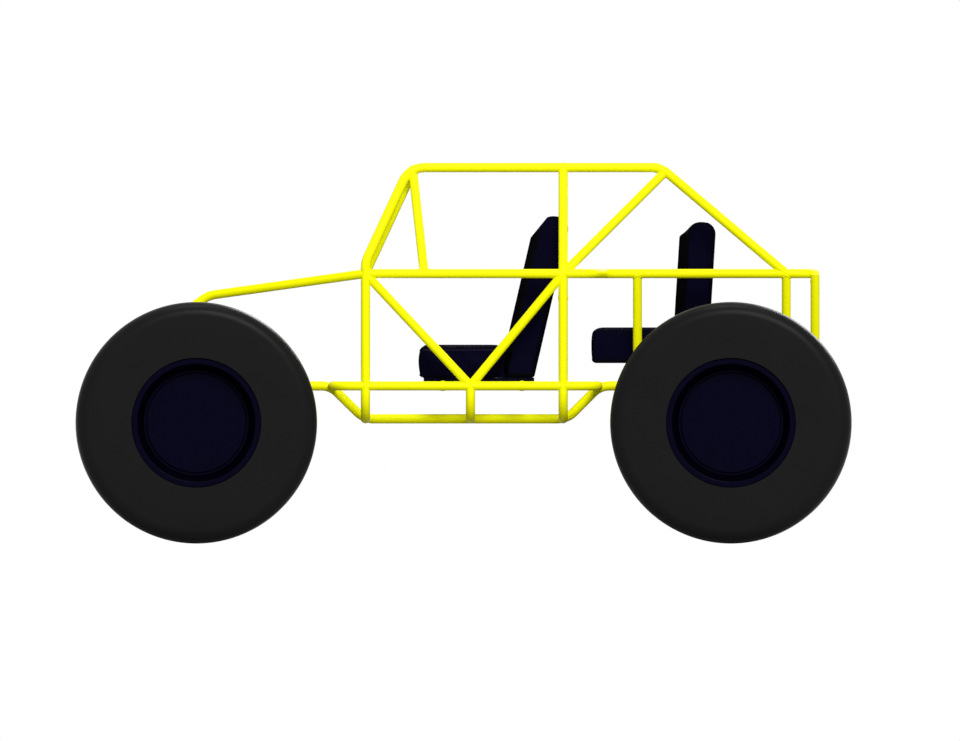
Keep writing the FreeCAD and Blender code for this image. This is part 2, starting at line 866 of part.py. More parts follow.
def hanger_fork(way):
    """Two cheeks under the right main rail with the pin through the spring's front or rear eye."""
    x = front_axle_x + way * spring_half_length
    inside = leaf_width / 2 + fit_gap
    outside = inside + cheek_thickness
    cheeks = [Part.makeBox(2 * spring_eye_radius, cheek_thickness, sill_height - spring_eye_height,
                           Vector(x - spring_eye_radius, spring_offset + start, spring_eye_height))
              for start in (-outside, inside)]
    ends = eye_rod(way, outside, spring_eye_radius).cut(eye_rod(way, inside, 2 * spring_eye_radius))
    pin = eye_rod(way, outside, spring_pin_radius)
    return biggest(cheeks[0].fuse([cheeks[1], ends]).fuse(pin).removeSplitter(), [main_rail()])


def front_springs():
    """Leaf packs, perches on the beam and hangers under the main rails."""
    leaves = leaves_and_eyes()
    pack = leaves[0].fuse(leaves[1:]).removeSplitter()
    bores = [eye_rod(way, leaf_width, spring_pin_radius + fit_gap) for way in (-1, 1)]
    pack = pack.cut(Part.makeCompound(bores))
    base = spring_eye_height - spring_sag - len(leaf_shares) * leaf_thickness
    perch = slab(front_axle_x - perch_length / 2, spring_offset, axle_height, perch_length, leaf_width,
                 base - axle_height)
    perch = perch.cut(rod(Vector(front_axle_x, 0, axle_height), Vector(front_axle_x, kingpin_y, axle_height),
                          beam_radius))
    hangers = [hanger_fork(way) for way in (-1, 1)]
    return pair(pack), pair(gathered([perch] + hangers))


# Gearbox and engine

def turned(profile, x, y, z):
    """A solid turned about a fore and aft line from corner points of place along it and radius."""
    points = [Vector(along, radius, 0) for along, radius in profile]
    face = Part.Face(Part.makePolygon(points + points[:1]))
    shape = face.revolve(Vector(0, 0, 0), AHEAD, 360)
    shape.translate(Vector(x, y, z))
    return shape


def slab(x, y, z, length, width, height):
    """A box from the middle of its front lower edge."""
    return Part.makeBox(length, width, height, Vector(x, y - width / 2, z))


def cross_section(points, bends, x, depth):
    """A closed outline of (y, z) corner points, drawn at a place along the buggy and pushed to the rear."""
    wire = outline([Vector(x, y, z) for y, z in points], bends)
    return Part.Face(wire).extrude(AHEAD * depth)


def gearbox(frame):
    """Bell housing, differential with side covers, ribbed case and a saddle up to the seat tube."""
    start = bell_x - bell_length
    case_start = start - case_length
    case = turned([
        (case_start - nose_length, 0), (case_start - nose_length, nose_radius), (case_start, nose_radius),
        (case_start, case_nose_radius), (start, case_radius),
        (bell_x - flange_thickness, bell_radius - rib_thickness),
        (bell_x - flange_thickness, bell_radius), (bell_x, bell_radius), (bell_x, 0),
    ], 0, 0, axle_height)
    half = gearbox_width / 2 - diff_cover_depth
    axle = Vector(rear_axle_x, 0, axle_height)
    barrel = rod(axle - ACROSS * half, axle + ACROSS * half, diff_radius)
    covers = rod(axle - ACROSS * gearbox_width / 2, axle + ACROSS * gearbox_width / 2, diff_cover_radius)
    case = case.fuse(barrel).fuse(covers)
    ribs = []
    for index in range(rib_count):
        rib = Part.Face(Part.makePolygon([
            Vector(start - case_length / 2, -rib_thickness / 2, 0),
            Vector(start - case_length / 2, -rib_thickness / 2, case_radius - rib_thickness),
            Vector(bell_x - flange_thickness, -rib_thickness / 2, bell_radius - rib_thickness / 2),
            Vector(bell_x - flange_thickness, -rib_thickness / 2, 0),
            Vector(start - case_length / 2, -rib_thickness / 2, 0),
        ])).extrude(ACROSS * rib_thickness)
        rib.rotate(Vector(0, 0, 0), AHEAD, 360 * (index + 0.5) / rib_count)
        rib.translate(Vector(0, 0, axle_height))
        ribs.append(rib)
    case = case.fuse(ribs).removeSplitter()
    saddle = slab(rear_support_x - saddle_length / 2, 0, axle_height, saddle_length, saddle_width,
                  sill_height - axle_height)
    saddle = biggest(saddle, frame)
    return case.fuse(saddle).removeSplitter()


def cylinder(x):
    """One finned cylinder on the right side, as a comb turned about its bore."""
    pitch = cylinder_length / fin_count
    comb = [(0, 0)]
    for index in range(fin_count):
        foot = index * pitch
        comb += [(barrel_radius, foot), (barrel_radius, foot + pitch / 2),
                 (fin_radius, foot + pitch / 2), (fin_radius, foot + pitch)]
    comb.append((0, cylinder_length))
    shape = ring(comb)
    shape.translate(Vector(x, case_block_half_width, crank_height))
    return shape


def head():
    """Right cylinder head with cooling slots and its valve cover."""
    block = slab(engine_x - head_length / 2, head_y + head_depth / 2, crank_height - head_half_height,
                 head_length, head_depth, 2 * head_half_height)
    step = head_depth / (head_slots + 1)
    slots = []
    top = crank_height + head_half_height
    low = crank_height - head_half_height
    for index in range(head_slots):
        y = head_y + step * (index + 1)
        for z in (top - head_slot_depth, low - cut_overrun):
            slots.append(slab(engine_x - head_length / 2 - cut_overrun, y, z, head_length + 2 * cut_overrun,
                              step / 2, head_slot_depth + cut_overrun))
    block = block.cut(Part.makeCompound(slots))
    out = head_y + head_depth
    plates = ((cover_length, cover_height, cover_depth), (cover_length + 2 * cover_lip,
                                                          cover_height + 2 * cover_lip, cover_lip))
    for length, height, depth in plates:
        corners = [Vector(engine_x + a * length / 2, out, crank_height + b * height / 2)
                   for a, b in ((-1, -1), (1, -1), (1, 1), (-1, 1))]
        block = block.fuse(Part.Face(outline(corners, [cover_corner] * 4)).extrude(ACROSS * depth))
    return block.removeSplitter()


def crankcase():
    """Split case with chamfered edges, bell flange and finned sump."""
    half = case_block_half_width
    top = crank_height + case_block_rise
    low = crank_height - case_block_drop
    case = cross_section([
        (-half, low + case_chamfer), (-half + case_chamfer, low), (half - case_chamfer, low),
        (half, low + case_chamfer), (half, top - case_chamfer), (half - case_chamfer, top),
        (-half + case_chamfer, top), (-half, top - case_chamfer),
    ], [0] * 8, bell_x, case_block_length)
    flange = turned([(0, 0), (0, bell_radius), (flange_thickness, bell_radius), (flange_thickness, 0)],
                    bell_x, 0, axle_height)
    sump = slab(engine_x - sump_length / 2, 0, low - sump_depth, sump_length, 2 * sump_half_width,
                sump_depth)
    step = 2 * sump_half_width / sump_fins
    grooves = [slab(engine_x - sump_length / 2 - cut_overrun, step * (index + 1) - sump_half_width,
                    low - sump_depth - cut_overrun, sump_length + 2 * cut_overrun, step / 2, sump_depth)
               for index in range(sump_fins - 1)]
    return case.fuse([flange, sump.cut(Part.makeCompound(grooves))]).removeSplitter()


def pulley(radius, z):
    """A grooved belt pulley at a height."""
    half = pulley_width / 2
    return turned([
        (-half, 0), (-half, radius), (-pulley_groove / 2, radius), (0, radius - pulley_groove),
        (pulley_groove / 2, radius), (half, radius), (half, 0),
    ], belt_x, 0, z)


def hanger(frame):
    """Plate behind the crankcase with two arms up to the tail tube."""
    top = sill_height + hanger_arm
    plate = slab(engine_rear_x, 0, top - hanger_height, hanger_thickness, 2 * hanger_half_width,
                 hanger_height)
    arms = [slab(engine_rear_x, side * (hanger_half_width - hanger_thickness / 2), sill_height - hanger_arm,
                 tail_cross_x - engine_rear_x, hanger_thickness, 2 * hanger_arm) for side in SIDES]
    plate = biggest(plate.fuse(arms), frame)
    hole = rod(Vector(engine_rear_x - cut_overrun, 0, crank_height),
               Vector(engine_rear_x + hanger_thickness + cut_overrun, 0, crank_height), pulley_radius)
    return plate.cut(hole)


def intake():
    """Right runner, carburettor with float bowl, and round air cleaner on top of it."""
    y = head_y + head_depth / 2
    foot = crank_height + head_half_height
    seat = foot + runner_height
    waist = cleaner_radius - cleaner_lid_lip
    lid = cleaner_height - cleaner_lid
    runner = rod(Vector(intake_x, y, foot - head_slot_depth), Vector(intake_x, y, seat), runner_radius)
    body = slab(intake_x - carburettor_length / 2, y, seat, carburettor_length, carburettor_width,
                carburettor_height)
    bowl = Part.makeCylinder(bowl_radius, carburettor_height / 2,
                             Vector(intake_x, y + carburettor_width / 2, seat), UP)
    cleaner = spun([
        (0, 0), (cleaner_radius, 0), (cleaner_radius, cleaner_lid), (waist, cleaner_lid), (waist, lid),
        (cleaner_radius, lid), (cleaner_radius, cleaner_height), (0, cleaner_height),
    ], Vector(intake_x, y, seat + carburettor_height))
    return body.fuse([runner, bowl]).fuse(cleaner).removeSplitter()


def engine(frame):
    """Open air-cooled flat four: case, four finned cylinders, heads, intakes, alternator and pulleys."""
    bank = [cylinder(engine_x + way * cylinder_pitch / 2) for way in (-1, 1)] + [head(), intake()]
    core = crankcase().fuse(bank + [mirrored(shape) for shape in bank])
    shafts = [rod(Vector(engine_rear_x - cut_overrun, 0, z), Vector(belt_x, 0, z), shaft_radius)
              for z in (crank_height, alternator_height)]
    pulleys = [pulley(pulley_radius, crank_height), pulley(alternator_pulley_radius, alternator_height)]
    alternator = rod(Vector(bell_x + shroud_front + shroud_depth, 0, alternator_height),
                     Vector(engine_rear_x, 0, alternator_height), alternator_radius)
    foot = crank_height + case_block_rise - cut_overrun
    stand = slab(engine_rear_x - stand_length, 0, foot, stand_length, stand_width, alternator_height - foot)
    core = core.fuse([alternator, stand] + shafts).fuse(pulleys)
    core = core.fuse(hanger(frame)).removeSplitter()
    return gathered([core, belt(core)])


def belt(core):
    """Belt round the crank and alternator pulleys, seated on them."""
    x = belt_x - belt_width / 2
    loops = []
    for grow in (belt_thickness, 0):
        big = pulley_radius + fit_gap + grow
        small = alternator_pulley_radius + fit_gap + grow
        rise = alternator_height - crank_height
        lean = math.asin((big - small) / rise)
        low, high = Vector(x, 0, crank_height), Vector(x, 0, alternator_height)
        out = Vector(0, math.cos(lean), math.sin(lean))
        back = Vector(0, -out.y, out.z)
        loops.append(Part.Face(Part.Wire([
            Part.LineSegment(low + out * big, high + out * small).toShape(),
            Part.Arc(high + out * small, high + UP * small, high + back * small).toShape(),
            Part.LineSegment(high + back * small, low + back * big).toShape(),
            Part.Arc(low + back * big, low - UP * big, low + out * big).toShape(),
        ])).extrude(AHEAD * belt_width))
    return biggest(loops[0].cut(loops[1]), [core])


def fan_shroud(core):
    """Sheet housing over the cylinders with a bladed fan in its front mouth."""
    x = bell_x + shroud_front
    foot = crank_height + shroud_foot_rise
    points = [
        (-shroud_half_width, foot), (shroud_half_width, foot),
        (shroud_half_width, crank_height + shroud_shoulder_rise),
        (shroud_crown_half_width, crank_height + shroud_crown_rise),
        (-shroud_crown_half_width, crank_height + shroud_crown_rise),
        (-shroud_half_width, crank_height + shroud_shoulder_rise),
    ]
    bends = [0, 0, shroud_corner, shroud_crown_bend, shroud_crown_bend, shroud_corner]
    housing = cross_section(points, bends, x, shroud_depth)
    mouth = turned([(-cut_overrun, 0), (-cut_overrun, fan_radius), (fan_depth, fan_radius), (fan_depth, 0)],
                   x, 0, alternator_height)
    housing = housing.cut(mouth)
    hub = turned([(0, 0), (0, fan_hub_radius), (fan_depth, fan_hub_radius), (fan_depth, 0)],
                 x, 0, alternator_height)
    blades = []
    for index in range(fan_blades):
        blade = slab(0, 0, 0, fan_depth, fan_blade_thickness, fan_radius + fit_gap)
        blade.rotate(Vector(0, 0, 0), AHEAD, 360 * index / fan_blades)
        blade.translate(Vector(x, 0, alternator_height))
        blades.append(blade)
    return biggest(housing.fuse([hub] + blades).removeSplitter(), [core])


def exhaust(core):
    """Four pipes from the heads to one muffler across the tail, with a tail pipe."""
    y = head_y + port_inset
    muffler_x = engine_rear_x + muffler_back
    height = crank_height - (upper_pipe_drop + lower_pipe_drop) / 2
    top = crank_height - head_half_height
    pipes = []
    for way, drop in ((-1, lower_pipe_drop), (1, upper_pipe_drop)):
        x = engine_x + way * cylinder_pitch / 2
        for side in SIDES:
            pipes.append(tube([
                Vector(x, side * y, top + head_slot_depth), Vector(x, side * y, crank_height - drop),
                Vector(muffler_x, side * y, crank_height - drop),
            ], pipe_radius, pipe_bend))
    middle = Vector(muffler_x, 0, height)
    muffler = rod(middle - ACROSS * muffler_half_width, middle + ACROSS * muffler_half_width, muffler_radius)
    bend = middle + ACROSS * (muffler_half_width + tail_pipe_reach)
    tail = tube([middle + ACROSS * (muffler_half_width - tail_pipe_reach), bend,
                 bend + (AHEAD - UP) * tail_pipe_out], pipe_radius, pipe_radius)
    return biggest(muffler.fuse(pipes + [tail]).removeSplitter(), [core])


# Rear running gear

def rear_axle_parts(welded):
    """Axle tubes with hub carriers, trailing arms and dampers."""
    nodes = {}
    carrier_out = wheel_plane - carrier_inset
    tube_end = carrier_out - carrier_length
    middle = carrier_out - carrier_length / 2
    axle = rod(Vector(rear_axle_x, gearbox_width / 2, axle_height),
               Vector(rear_axle_x, tube_end, axle_height), axle_tube_radius)
    carrier = rod(Vector(rear_axle_x, tube_end, axle_height), Vector(rear_axle_x, carrier_out, axle_height),
                  carrier_radius)
    spindle = rod(Vector(rear_axle_x, carrier_out, axle_height), Vector(rear_axle_x, spindle_tip_y, axle_height),
                  spindle_radius)
    carrier = carrier.fuse([spindle, axle]).removeSplitter()
    pivot = Vector(pivot_x, pivot_y, sill_height)
    barrel = rod(Vector(pivot_x, rail_half_width, sill_height), pivot + ACROSS * pivot_radius, pivot_radius)
    bar = rod(pivot, Vector(rear_axle_x, middle, axle_height), arm_tube_radius)
    arm = biggest(barrel.fuse(bar), [main_rail(), carrier])
    share = (damper_y - pivot.y) / (middle - pivot.y)
    foot = pivot + (Vector(rear_axle_x, middle, axle_height) - pivot) * share
    top = Vector(engine_post_x, damper_y, damper_top_height)
    stud_start = Vector(engine_post_x, rail_half_width, damper_top_height)
    stud = biggest(rod(stud_start, top + ACROSS * damper_eye_radius, damper_pin_radius), welded)
    nodes["rear_axle"] = pair(carrier)
    nodes["trailing_arms"] = pair(arm)
    nodes["dampers"] = pair(gathered([biggest(damper(foot, top), [arm, stud]), stud]))
    return nodes


def along_damper(shape, foot, top):
    """A shape drawn upright from the origin, moved to the damper's foot and leaned towards its top."""
    shape = shape.copy()
    turn = FreeCAD.Rotation(UP, top - foot)
    shape.Placement = FreeCAD.Placement(foot, turn).multiply(shape.Placement)
    return shape


def damper(foot, top):
    """Damper body and rod with spring seats and an eye at the top."""
    length = (top - foot).Length
    body = length * damper_body_share
    low, high = length * spring_low_share, length * spring_high_share
    shaft = spun([
        (0, 0), (damper_body_radius, 0), (damper_body_radius, low - spring_seat_thickness),
        (spring_seat_radius, low - spring_seat_thickness), (spring_seat_radius, low),
        (damper_body_radius, low), (damper_body_radius, body), (damper_rod_radius, body),
        (damper_rod_radius, high), (spring_seat_radius, high),
        (spring_seat_radius, high + spring_seat_thickness),
        (damper_rod_radius, high + spring_seat_thickness), (damper_rod_radius, length), (0, length),
    ], Vector(0, 0, 0))
    eye = rod(top - ACROSS * damper_eye_radius, top + ACROSS * damper_eye_radius, damper_eye_radius)
    return along_damper(shaft, foot, top).fuse(eye).removeSplitter()


def tow_tabs(welded):
    """Drilled plates on the nose and tail cross tubes, two at each end."""
    tabs = []
    for x, way in ((nose_cross_x, -1), (tail_cross_x, 1)):
        start = Vector(x, tab_offset - tab_thickness / 2, sill_height)
        end = start + Vector(way * tab_reach, 0, 0)
        plate = Part.makeBox(tab_reach, tab_thickness, 2 * tab_radius,
                             Vector(min(start.x, end.x), start.y, sill_height - tab_radius))
        nose = Part.makeCylinder(tab_radius, tab_thickness, end, ACROSS)
        bore = Part.makeCylinder(tab_bore_radius, tab_thickness + 2 * cut_overrun,
                                 end - ACROSS * cut_overrun, ACROSS)
        tabs.append(biggest(plate.fuse(nose).removeSplitter(), welded + [bore]))
    return pair(gathered(tabs))


def build():
    """Every node of the buggy by name."""
    nodes = frame_nodes()
    frame = list(nodes.values())
    nodes.update(seat_nodes())
    nodes["rear_seat_frame"] = rear_seat_frame(frame)
    nodes["tow_tabs"] = tow_tabs(frame)
    nodes["floor_panels"] = floor_panels(frame)
    nodes.update(wheel_nodes())
    nodes["front_axle"] = front_axle()
    for name, side in (("left", LEFT), ("right", RIGHT)):
        nodes["knuckle_" + name] = knuckle(side)
    nodes["tie_rod"] = tie_rod()
    nodes["leaf_springs"], nodes["spring_mounts"] = front_springs()
    nodes.update(rear_axle_parts(frame))
    nodes["gearbox"] = gearbox(frame + [nodes["rear_seat_frame"]])
    nodes["engine"] = engine(frame)
    core = nodes["engine"].Solids[0]
    nodes["fan_shroud"] = fan_shroud(core)
    nodes["exhaust"] = exhaust(core)
    return nodes


def main():
    """Write one STEP file for each node."""
    os.makedirs("parts", exist_ok=True)
    for name, shape in build().items():
        shape.exportStep("parts/%s.step" % name)
        print(name, shape.isValid(), len(shape.Solids), round(shape.Volume / 1e6, 3))


if __name__ == "__main__":
    main()
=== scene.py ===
"""Dresses the dune buggy: finishes, seats, tyre tread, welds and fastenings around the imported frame.

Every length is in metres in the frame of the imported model: X runs to the tail, Y to the right side, Z up.
"""
from __future__ import annotations

import json
import logging
import math
from dataclasses import dataclass
from enum import Enum

import bmesh
import bpy
from mathutils import Matrix, Vector
from mathutils.bvhtree import BVHTree

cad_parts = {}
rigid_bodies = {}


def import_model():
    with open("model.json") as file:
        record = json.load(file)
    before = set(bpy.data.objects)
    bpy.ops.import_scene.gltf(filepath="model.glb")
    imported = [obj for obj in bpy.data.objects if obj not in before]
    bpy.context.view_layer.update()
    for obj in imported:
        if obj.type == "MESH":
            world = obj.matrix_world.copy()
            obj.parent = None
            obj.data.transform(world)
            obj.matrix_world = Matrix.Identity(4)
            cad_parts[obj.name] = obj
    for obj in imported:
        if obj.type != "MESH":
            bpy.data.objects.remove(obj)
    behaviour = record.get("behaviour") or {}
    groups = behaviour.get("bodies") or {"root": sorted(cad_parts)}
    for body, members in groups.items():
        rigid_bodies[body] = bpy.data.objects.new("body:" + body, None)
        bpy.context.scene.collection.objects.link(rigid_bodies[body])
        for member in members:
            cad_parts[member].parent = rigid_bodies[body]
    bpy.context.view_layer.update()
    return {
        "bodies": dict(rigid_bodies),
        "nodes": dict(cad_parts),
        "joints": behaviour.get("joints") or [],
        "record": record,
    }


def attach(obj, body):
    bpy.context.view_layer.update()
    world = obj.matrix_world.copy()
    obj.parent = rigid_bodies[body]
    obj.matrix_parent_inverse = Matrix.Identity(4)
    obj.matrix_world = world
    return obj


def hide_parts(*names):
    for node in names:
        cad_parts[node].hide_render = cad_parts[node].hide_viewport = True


LOG = logging.getLogger("buggy")
MERGE_DISTANCE = 1e-6
UP = Vector((0.0, 0.0, 1.0))
TAILWARD = Vector((1.0, 0.0, 0.0))

Color = tuple[float, float, float]
Bounds = tuple[Vector, Vector]


class Side(Enum):
    """The two sides of the buggy, with the sign of their Y."""

    LEFT = -1
    RIGHT = 1

    @property
    def word(self) -> str:
        """The side as it stands in the names of nodes."""
        return self.name.lower()

    @property
    def out(self) -> Vector:
        """The direction out of the buggy on this side."""
        return Vector((0.0, float(self.value), 0.0))


class Slot(Enum):
    """Material slots of the record."""

    FRAME = "frame_paint"
    SEAT = "seat_cover"
    SHELL = "seat_shell"
    FLOOR = "floor_sheet"
    AXLE = "axle_paint"
    SPRING = "spring_steel"
    CASE = "cast_case"
    SHROUD = "shroud_paint"
    EXHAUST = "exhaust_steel"
    DAMPER = "damper_metal"
    FORGED = "forged_steel"
    TYRE = "tyre_rubber"
    WHEEL = "wheel_paint"


class Graph:
    """A short way to place and link nodes in one node tree."""

    def __init__(self, tree: bpy.types.NodeTree) -> None:
        """Keep the tree, of a material or of a group, that the nodes go into."""
        self.tree = tree

    def feed(self, target: bpy.types.NodeSocket, value: object) -> None:
        """Link a socket to an input, or set the input's value.

        Args:
            target: The input.
            value: Another node's output, or a plain value.
        """
        if isinstance(value, bpy.types.NodeSocket):
            self.tree.links.new(value, target)
        else:
            target.default_value = value

    def fill(self, node: bpy.types.Node, **feeds: object) -> None:
        """Feed inputs of a node by their names, with underscores for blanks."""
        for name, value in feeds.items():
            self.feed(node.inputs[name.replace("_", " ")], value)

    def node(self, kind: str, **settings: object) -> bpy.types.Node:
        """Add a node.

        Args:
            kind: Blender's name of the node's type.
            **settings: Attributes of the node, or what its inputs get, by name.

        Returns:
            The new node.
        """
        node = self.tree.nodes.new(kind)
        for name, value in settings.items():
            if hasattr(node, name):
                setattr(node, name, value)
            else:
                self.fill(node, **{name: value})
        return node

    def math(self, operation: str, *values: object, clamp: bool = False) -> bpy.types.NodeSocket:
        """Add a calculation.

        Args:
            operation: Blender's name of the operation.
            *values: Its operands, sockets or numbers.
            clamp: Whether the result is kept between 0 and 1.

        Returns:
            The result's socket.
        """
        node = self.node("ShaderNodeMath", operation=operation, use_clamp=clamp)
        for target, value in zip(node.inputs, values):
            self.feed(target, value)
        return node.outputs[0]

    def mix(self, share: bpy.types.NodeSocket, below: object, above: object) -> bpy.types.NodeSocket:
        """Mix two colours.

        Args:
            share: How much of the second colour shows.
            below: The first colour, a socket or four numbers.
            above: The second colour.

        Returns:
            The mixed colour's socket.
        """
        node = self.node("ShaderNodeMix", data_type="RGBA")
        for index, value in ((0, share), (6, below), (7, above)):
            self.feed(node.inputs[index], value)
        return node.outputs[2]


FLOAT = "NodeSocketFloat"
COLOR = "NodeSocketColor"
VECTOR = "NodeSocketVector"


class Effects:
    """Shader groups that several finishes share, each built once."""

    def __init__(self) -> None:
        """Build the groups."""
        self.grain = self._grain()
        self.dust = self._dust()
        self.weave = self._weave()

    def _group(self, name: str, inputs: dict[str, str],
               outputs: dict[str, str]) -> tuple[Graph, bpy.types.NodeOutputs]:
        """Make an empty shader group with named sockets.

        Args:
            name: The group's name.
            inputs: Socket types by input name.
            outputs: Socket types by output name.

        Returns:
            A graph on the group's tree and what comes into the group.
        """
        tree = bpy.data.node_groups.new(name, "ShaderNodeTree")
        for in_out, sockets in (("INPUT", inputs), ("OUTPUT", outputs)):
            for label, kind in sockets.items():
                tree.interface.new_socket(label, in_out=in_out, socket_type=kind)
        graph = Graph(tree)
        return graph, graph.node("NodeGroupInput").outputs

    def _grain(self) -> bpy.types.NodeTree:
        """Fine grain over broad cloudiness: colour, roughness and height.

        Returns:
            The group's tree.
        """
        graph, given = self._group(
            "grain",
            {"Vector": VECTOR, "Color": COLOR, "Roughness": FLOAT, "Scale": FLOAT, "Tint": FLOAT,
             "Spread": FLOAT},
            {"Color": COLOR, "Roughness": FLOAT, "Height": FLOAT},
        )
        fine = graph.node("ShaderNodeTexNoise", Vector=given["Vector"], Scale=given["Scale"], Detail=3.0,
                          Roughness=0.6)
        broad = graph.node("ShaderNodeTexNoise", Vector=given["Vector"], Scale=5.0, Detail=4.0)
        shade = graph.math("SUBTRACT", broad.outputs["Fac"], 0.5)
        value = graph.math("ADD", graph.math("MULTIPLY", shade, given["Tint"]), 1.0)
        tone = graph.node("ShaderNodeHueSaturation", Color=given["Color"], Value=value)
        rough = graph.math("MULTIPLY_ADD", shade, given["Spread"], given["Roughness"])
        graph.node("NodeGroupOutput", Color=tone.outputs["Color"], Roughness=rough,
                   Height=fine.outputs["Fac"])
        return graph.tree

    def _dust(self) -> bpy.types.NodeTree:
        """Thin dust in clouds, which lightens the colour and dulls the gloss.

        Returns:
            The group's tree.
        """
        graph, given = self._group(
            "dust",
            {"Vector": VECTOR, "Color": COLOR, "Roughness": FLOAT, "Dust": COLOR, "Amount": FLOAT},
            {"Color": COLOR, "Roughness": FLOAT},
        )
        cloud = graph.node("ShaderNodeTexNoise", Vector=given["Vector"], Scale=9.0, Detail=6.0,
                           Roughness=0.7)
        mask = graph.node("ShaderNodeMapRange", Value=cloud.outputs["Fac"], From_Min=0.42, From_Max=0.72)
        much = graph.math("MULTIPLY", mask.outputs["Result"], given["Amount"])
        graph.node("NodeGroupOutput", Color=graph.mix(much, given["Color"], given["Dust"]),
                   Roughness=graph.math("ADD", given["Roughness"], much, clamp=True))
        return graph.tree

    def _weave(self) -> bpy.types.NodeTree:
        """Crossed threads as a height, for coarse seat cloth.

        Returns:
            The group's tree.
        """
        graph, given = self._group("weave", {"Vector": VECTOR, "Scale": FLOAT}, {"Height": FLOAT})
        x, y, z = (graph.node("ShaderNodeTexWave", bands_direction=direction, wave_profile="SIN",
                              Vector=given["Vector"], Scale=given["Scale"]).outputs["Fac"]
                   for direction in ("X", "Y", "Z"))
        graph.node("NodeGroupOutput", Height=graph.math("ADD", graph.math("MULTIPLY", x, y), z))
        return graph.tree


@dataclass(frozen=True)
class Finish:
    """One surface finish, made as a procedural material.

    Colours are linear. Bump lengths are in metres.
    """

    name: str
    color: Color
    roughness: float
    metallic: float = 0.0
    coat: float = 0.0
    coat_roughness: float = 0.12
    grain_scale: float = 400.0
    tint: float = 0.12
    spread: float = 0.15
    bump: float = 0.15
    depth: float = 0.0004
    dust: float = 0.0
    dust_color: Color = (0.30, 0.26, 0.20)
    weave_scale: float = 0.0
    specular: float = 0.5
    # Painted shade: the colour of a seat's rounded edges, laid where the mesh's 'edge' attribute is high.
    edge_color: Color | None = None
    # Lighter colour where the mesh's 'top' attribute is high: partly a second tone of the seat's faces, partly
    # painted light from above.
    top_color: Color | None = None
    # Painted shade: the colour of surfaces that don't face sideways, with the bounds of that mask below.
    steep_color: Color | None = None
    steep_from: float = 0.93
    steep_to: float = 0.7

    def build(self, effects: Effects) -> bpy.types.Material:
        """Make the material.

        Args:
            effects: The shared shader groups.

        Returns:
            The new material.
        """
        material = bpy.data.materials.new(self.name)
        material.use_nodes = True
        graph = Graph(material.node_tree)
        place = graph.node("ShaderNodeTexCoord").outputs
        grain = graph.node("ShaderNodeGroup", node_tree=effects.grain, Vector=place["Object"],
                           Color=(*self.color, 1.0), Roughness=self.roughness, Scale=self.grain_scale,
                           Tint=self.tint, Spread=self.spread).outputs
        color, rough, height = grain["Color"], grain["Roughness"], grain["Height"]
        # Seats: a lighter colour on the faces that don't face sideways, partly a second tone and partly
        # painted light from above, and painted shade on the rounded edges.
        for layer, other in (("top", self.top_color), ("edge", self.edge_color)):
            if other:
                share = graph.node("ShaderNodeAttribute", attribute_name=layer).outputs["Fac"]
                color = graph.mix(share, color, (*other, 1.0))
        # Painted shade on the surfaces that don't face sideways.
        if self.steep_color:
            color = graph.mix(self.steepness(graph, place["Normal"]), color, (*self.steep_color, 1.0))
        if self.dust:
            dust = graph.node("ShaderNodeGroup", node_tree=effects.dust, Vector=place["Object"], Color=color,
                              Roughness=rough, Dust=(*self.dust_color, 1.0), Amount=self.dust).outputs
            color, rough = dust["Color"], dust["Roughness"]
        if self.weave_scale:
            height = graph.node("ShaderNodeGroup", node_tree=effects.weave, Vector=place["Object"],
                                Scale=self.weave_scale).outputs["Height"]
        bump = graph.node("ShaderNodeBump", Strength=self.bump, Distance=self.depth, Height=height)
        graph.fill(material.node_tree.nodes["Principled BSDF"], Base_Color=color, Roughness=rough,
                   Metallic=self.metallic, Coat_Weight=self.coat, Coat_Roughness=self.coat_roughness,
                   Specular_IOR_Level=self.specular, Normal=bump.outputs["Normal"])
        return material

    def steepness(self, graph: Graph, normal: bpy.types.NodeSocket) -> bpy.types.NodeSocket:
        """Find the surfaces that don't face sideways, such as a wheel's barrel, which take painted shade.

        Args:
            graph: The material's graph.
            normal: The surface's direction in the piece's own frame.

        Returns:
            One on those surfaces and zero on the others.
        """
        parts = graph.node("ShaderNodeSeparateXYZ", Vector=normal)
        share = graph.node("ShaderNodeMapRange", Value=graph.math("ABSOLUTE", parts.outputs["Y"]),
                           From_Min=self.steep_from, From_Max=self.steep_to)
        return share.outputs["Result"]


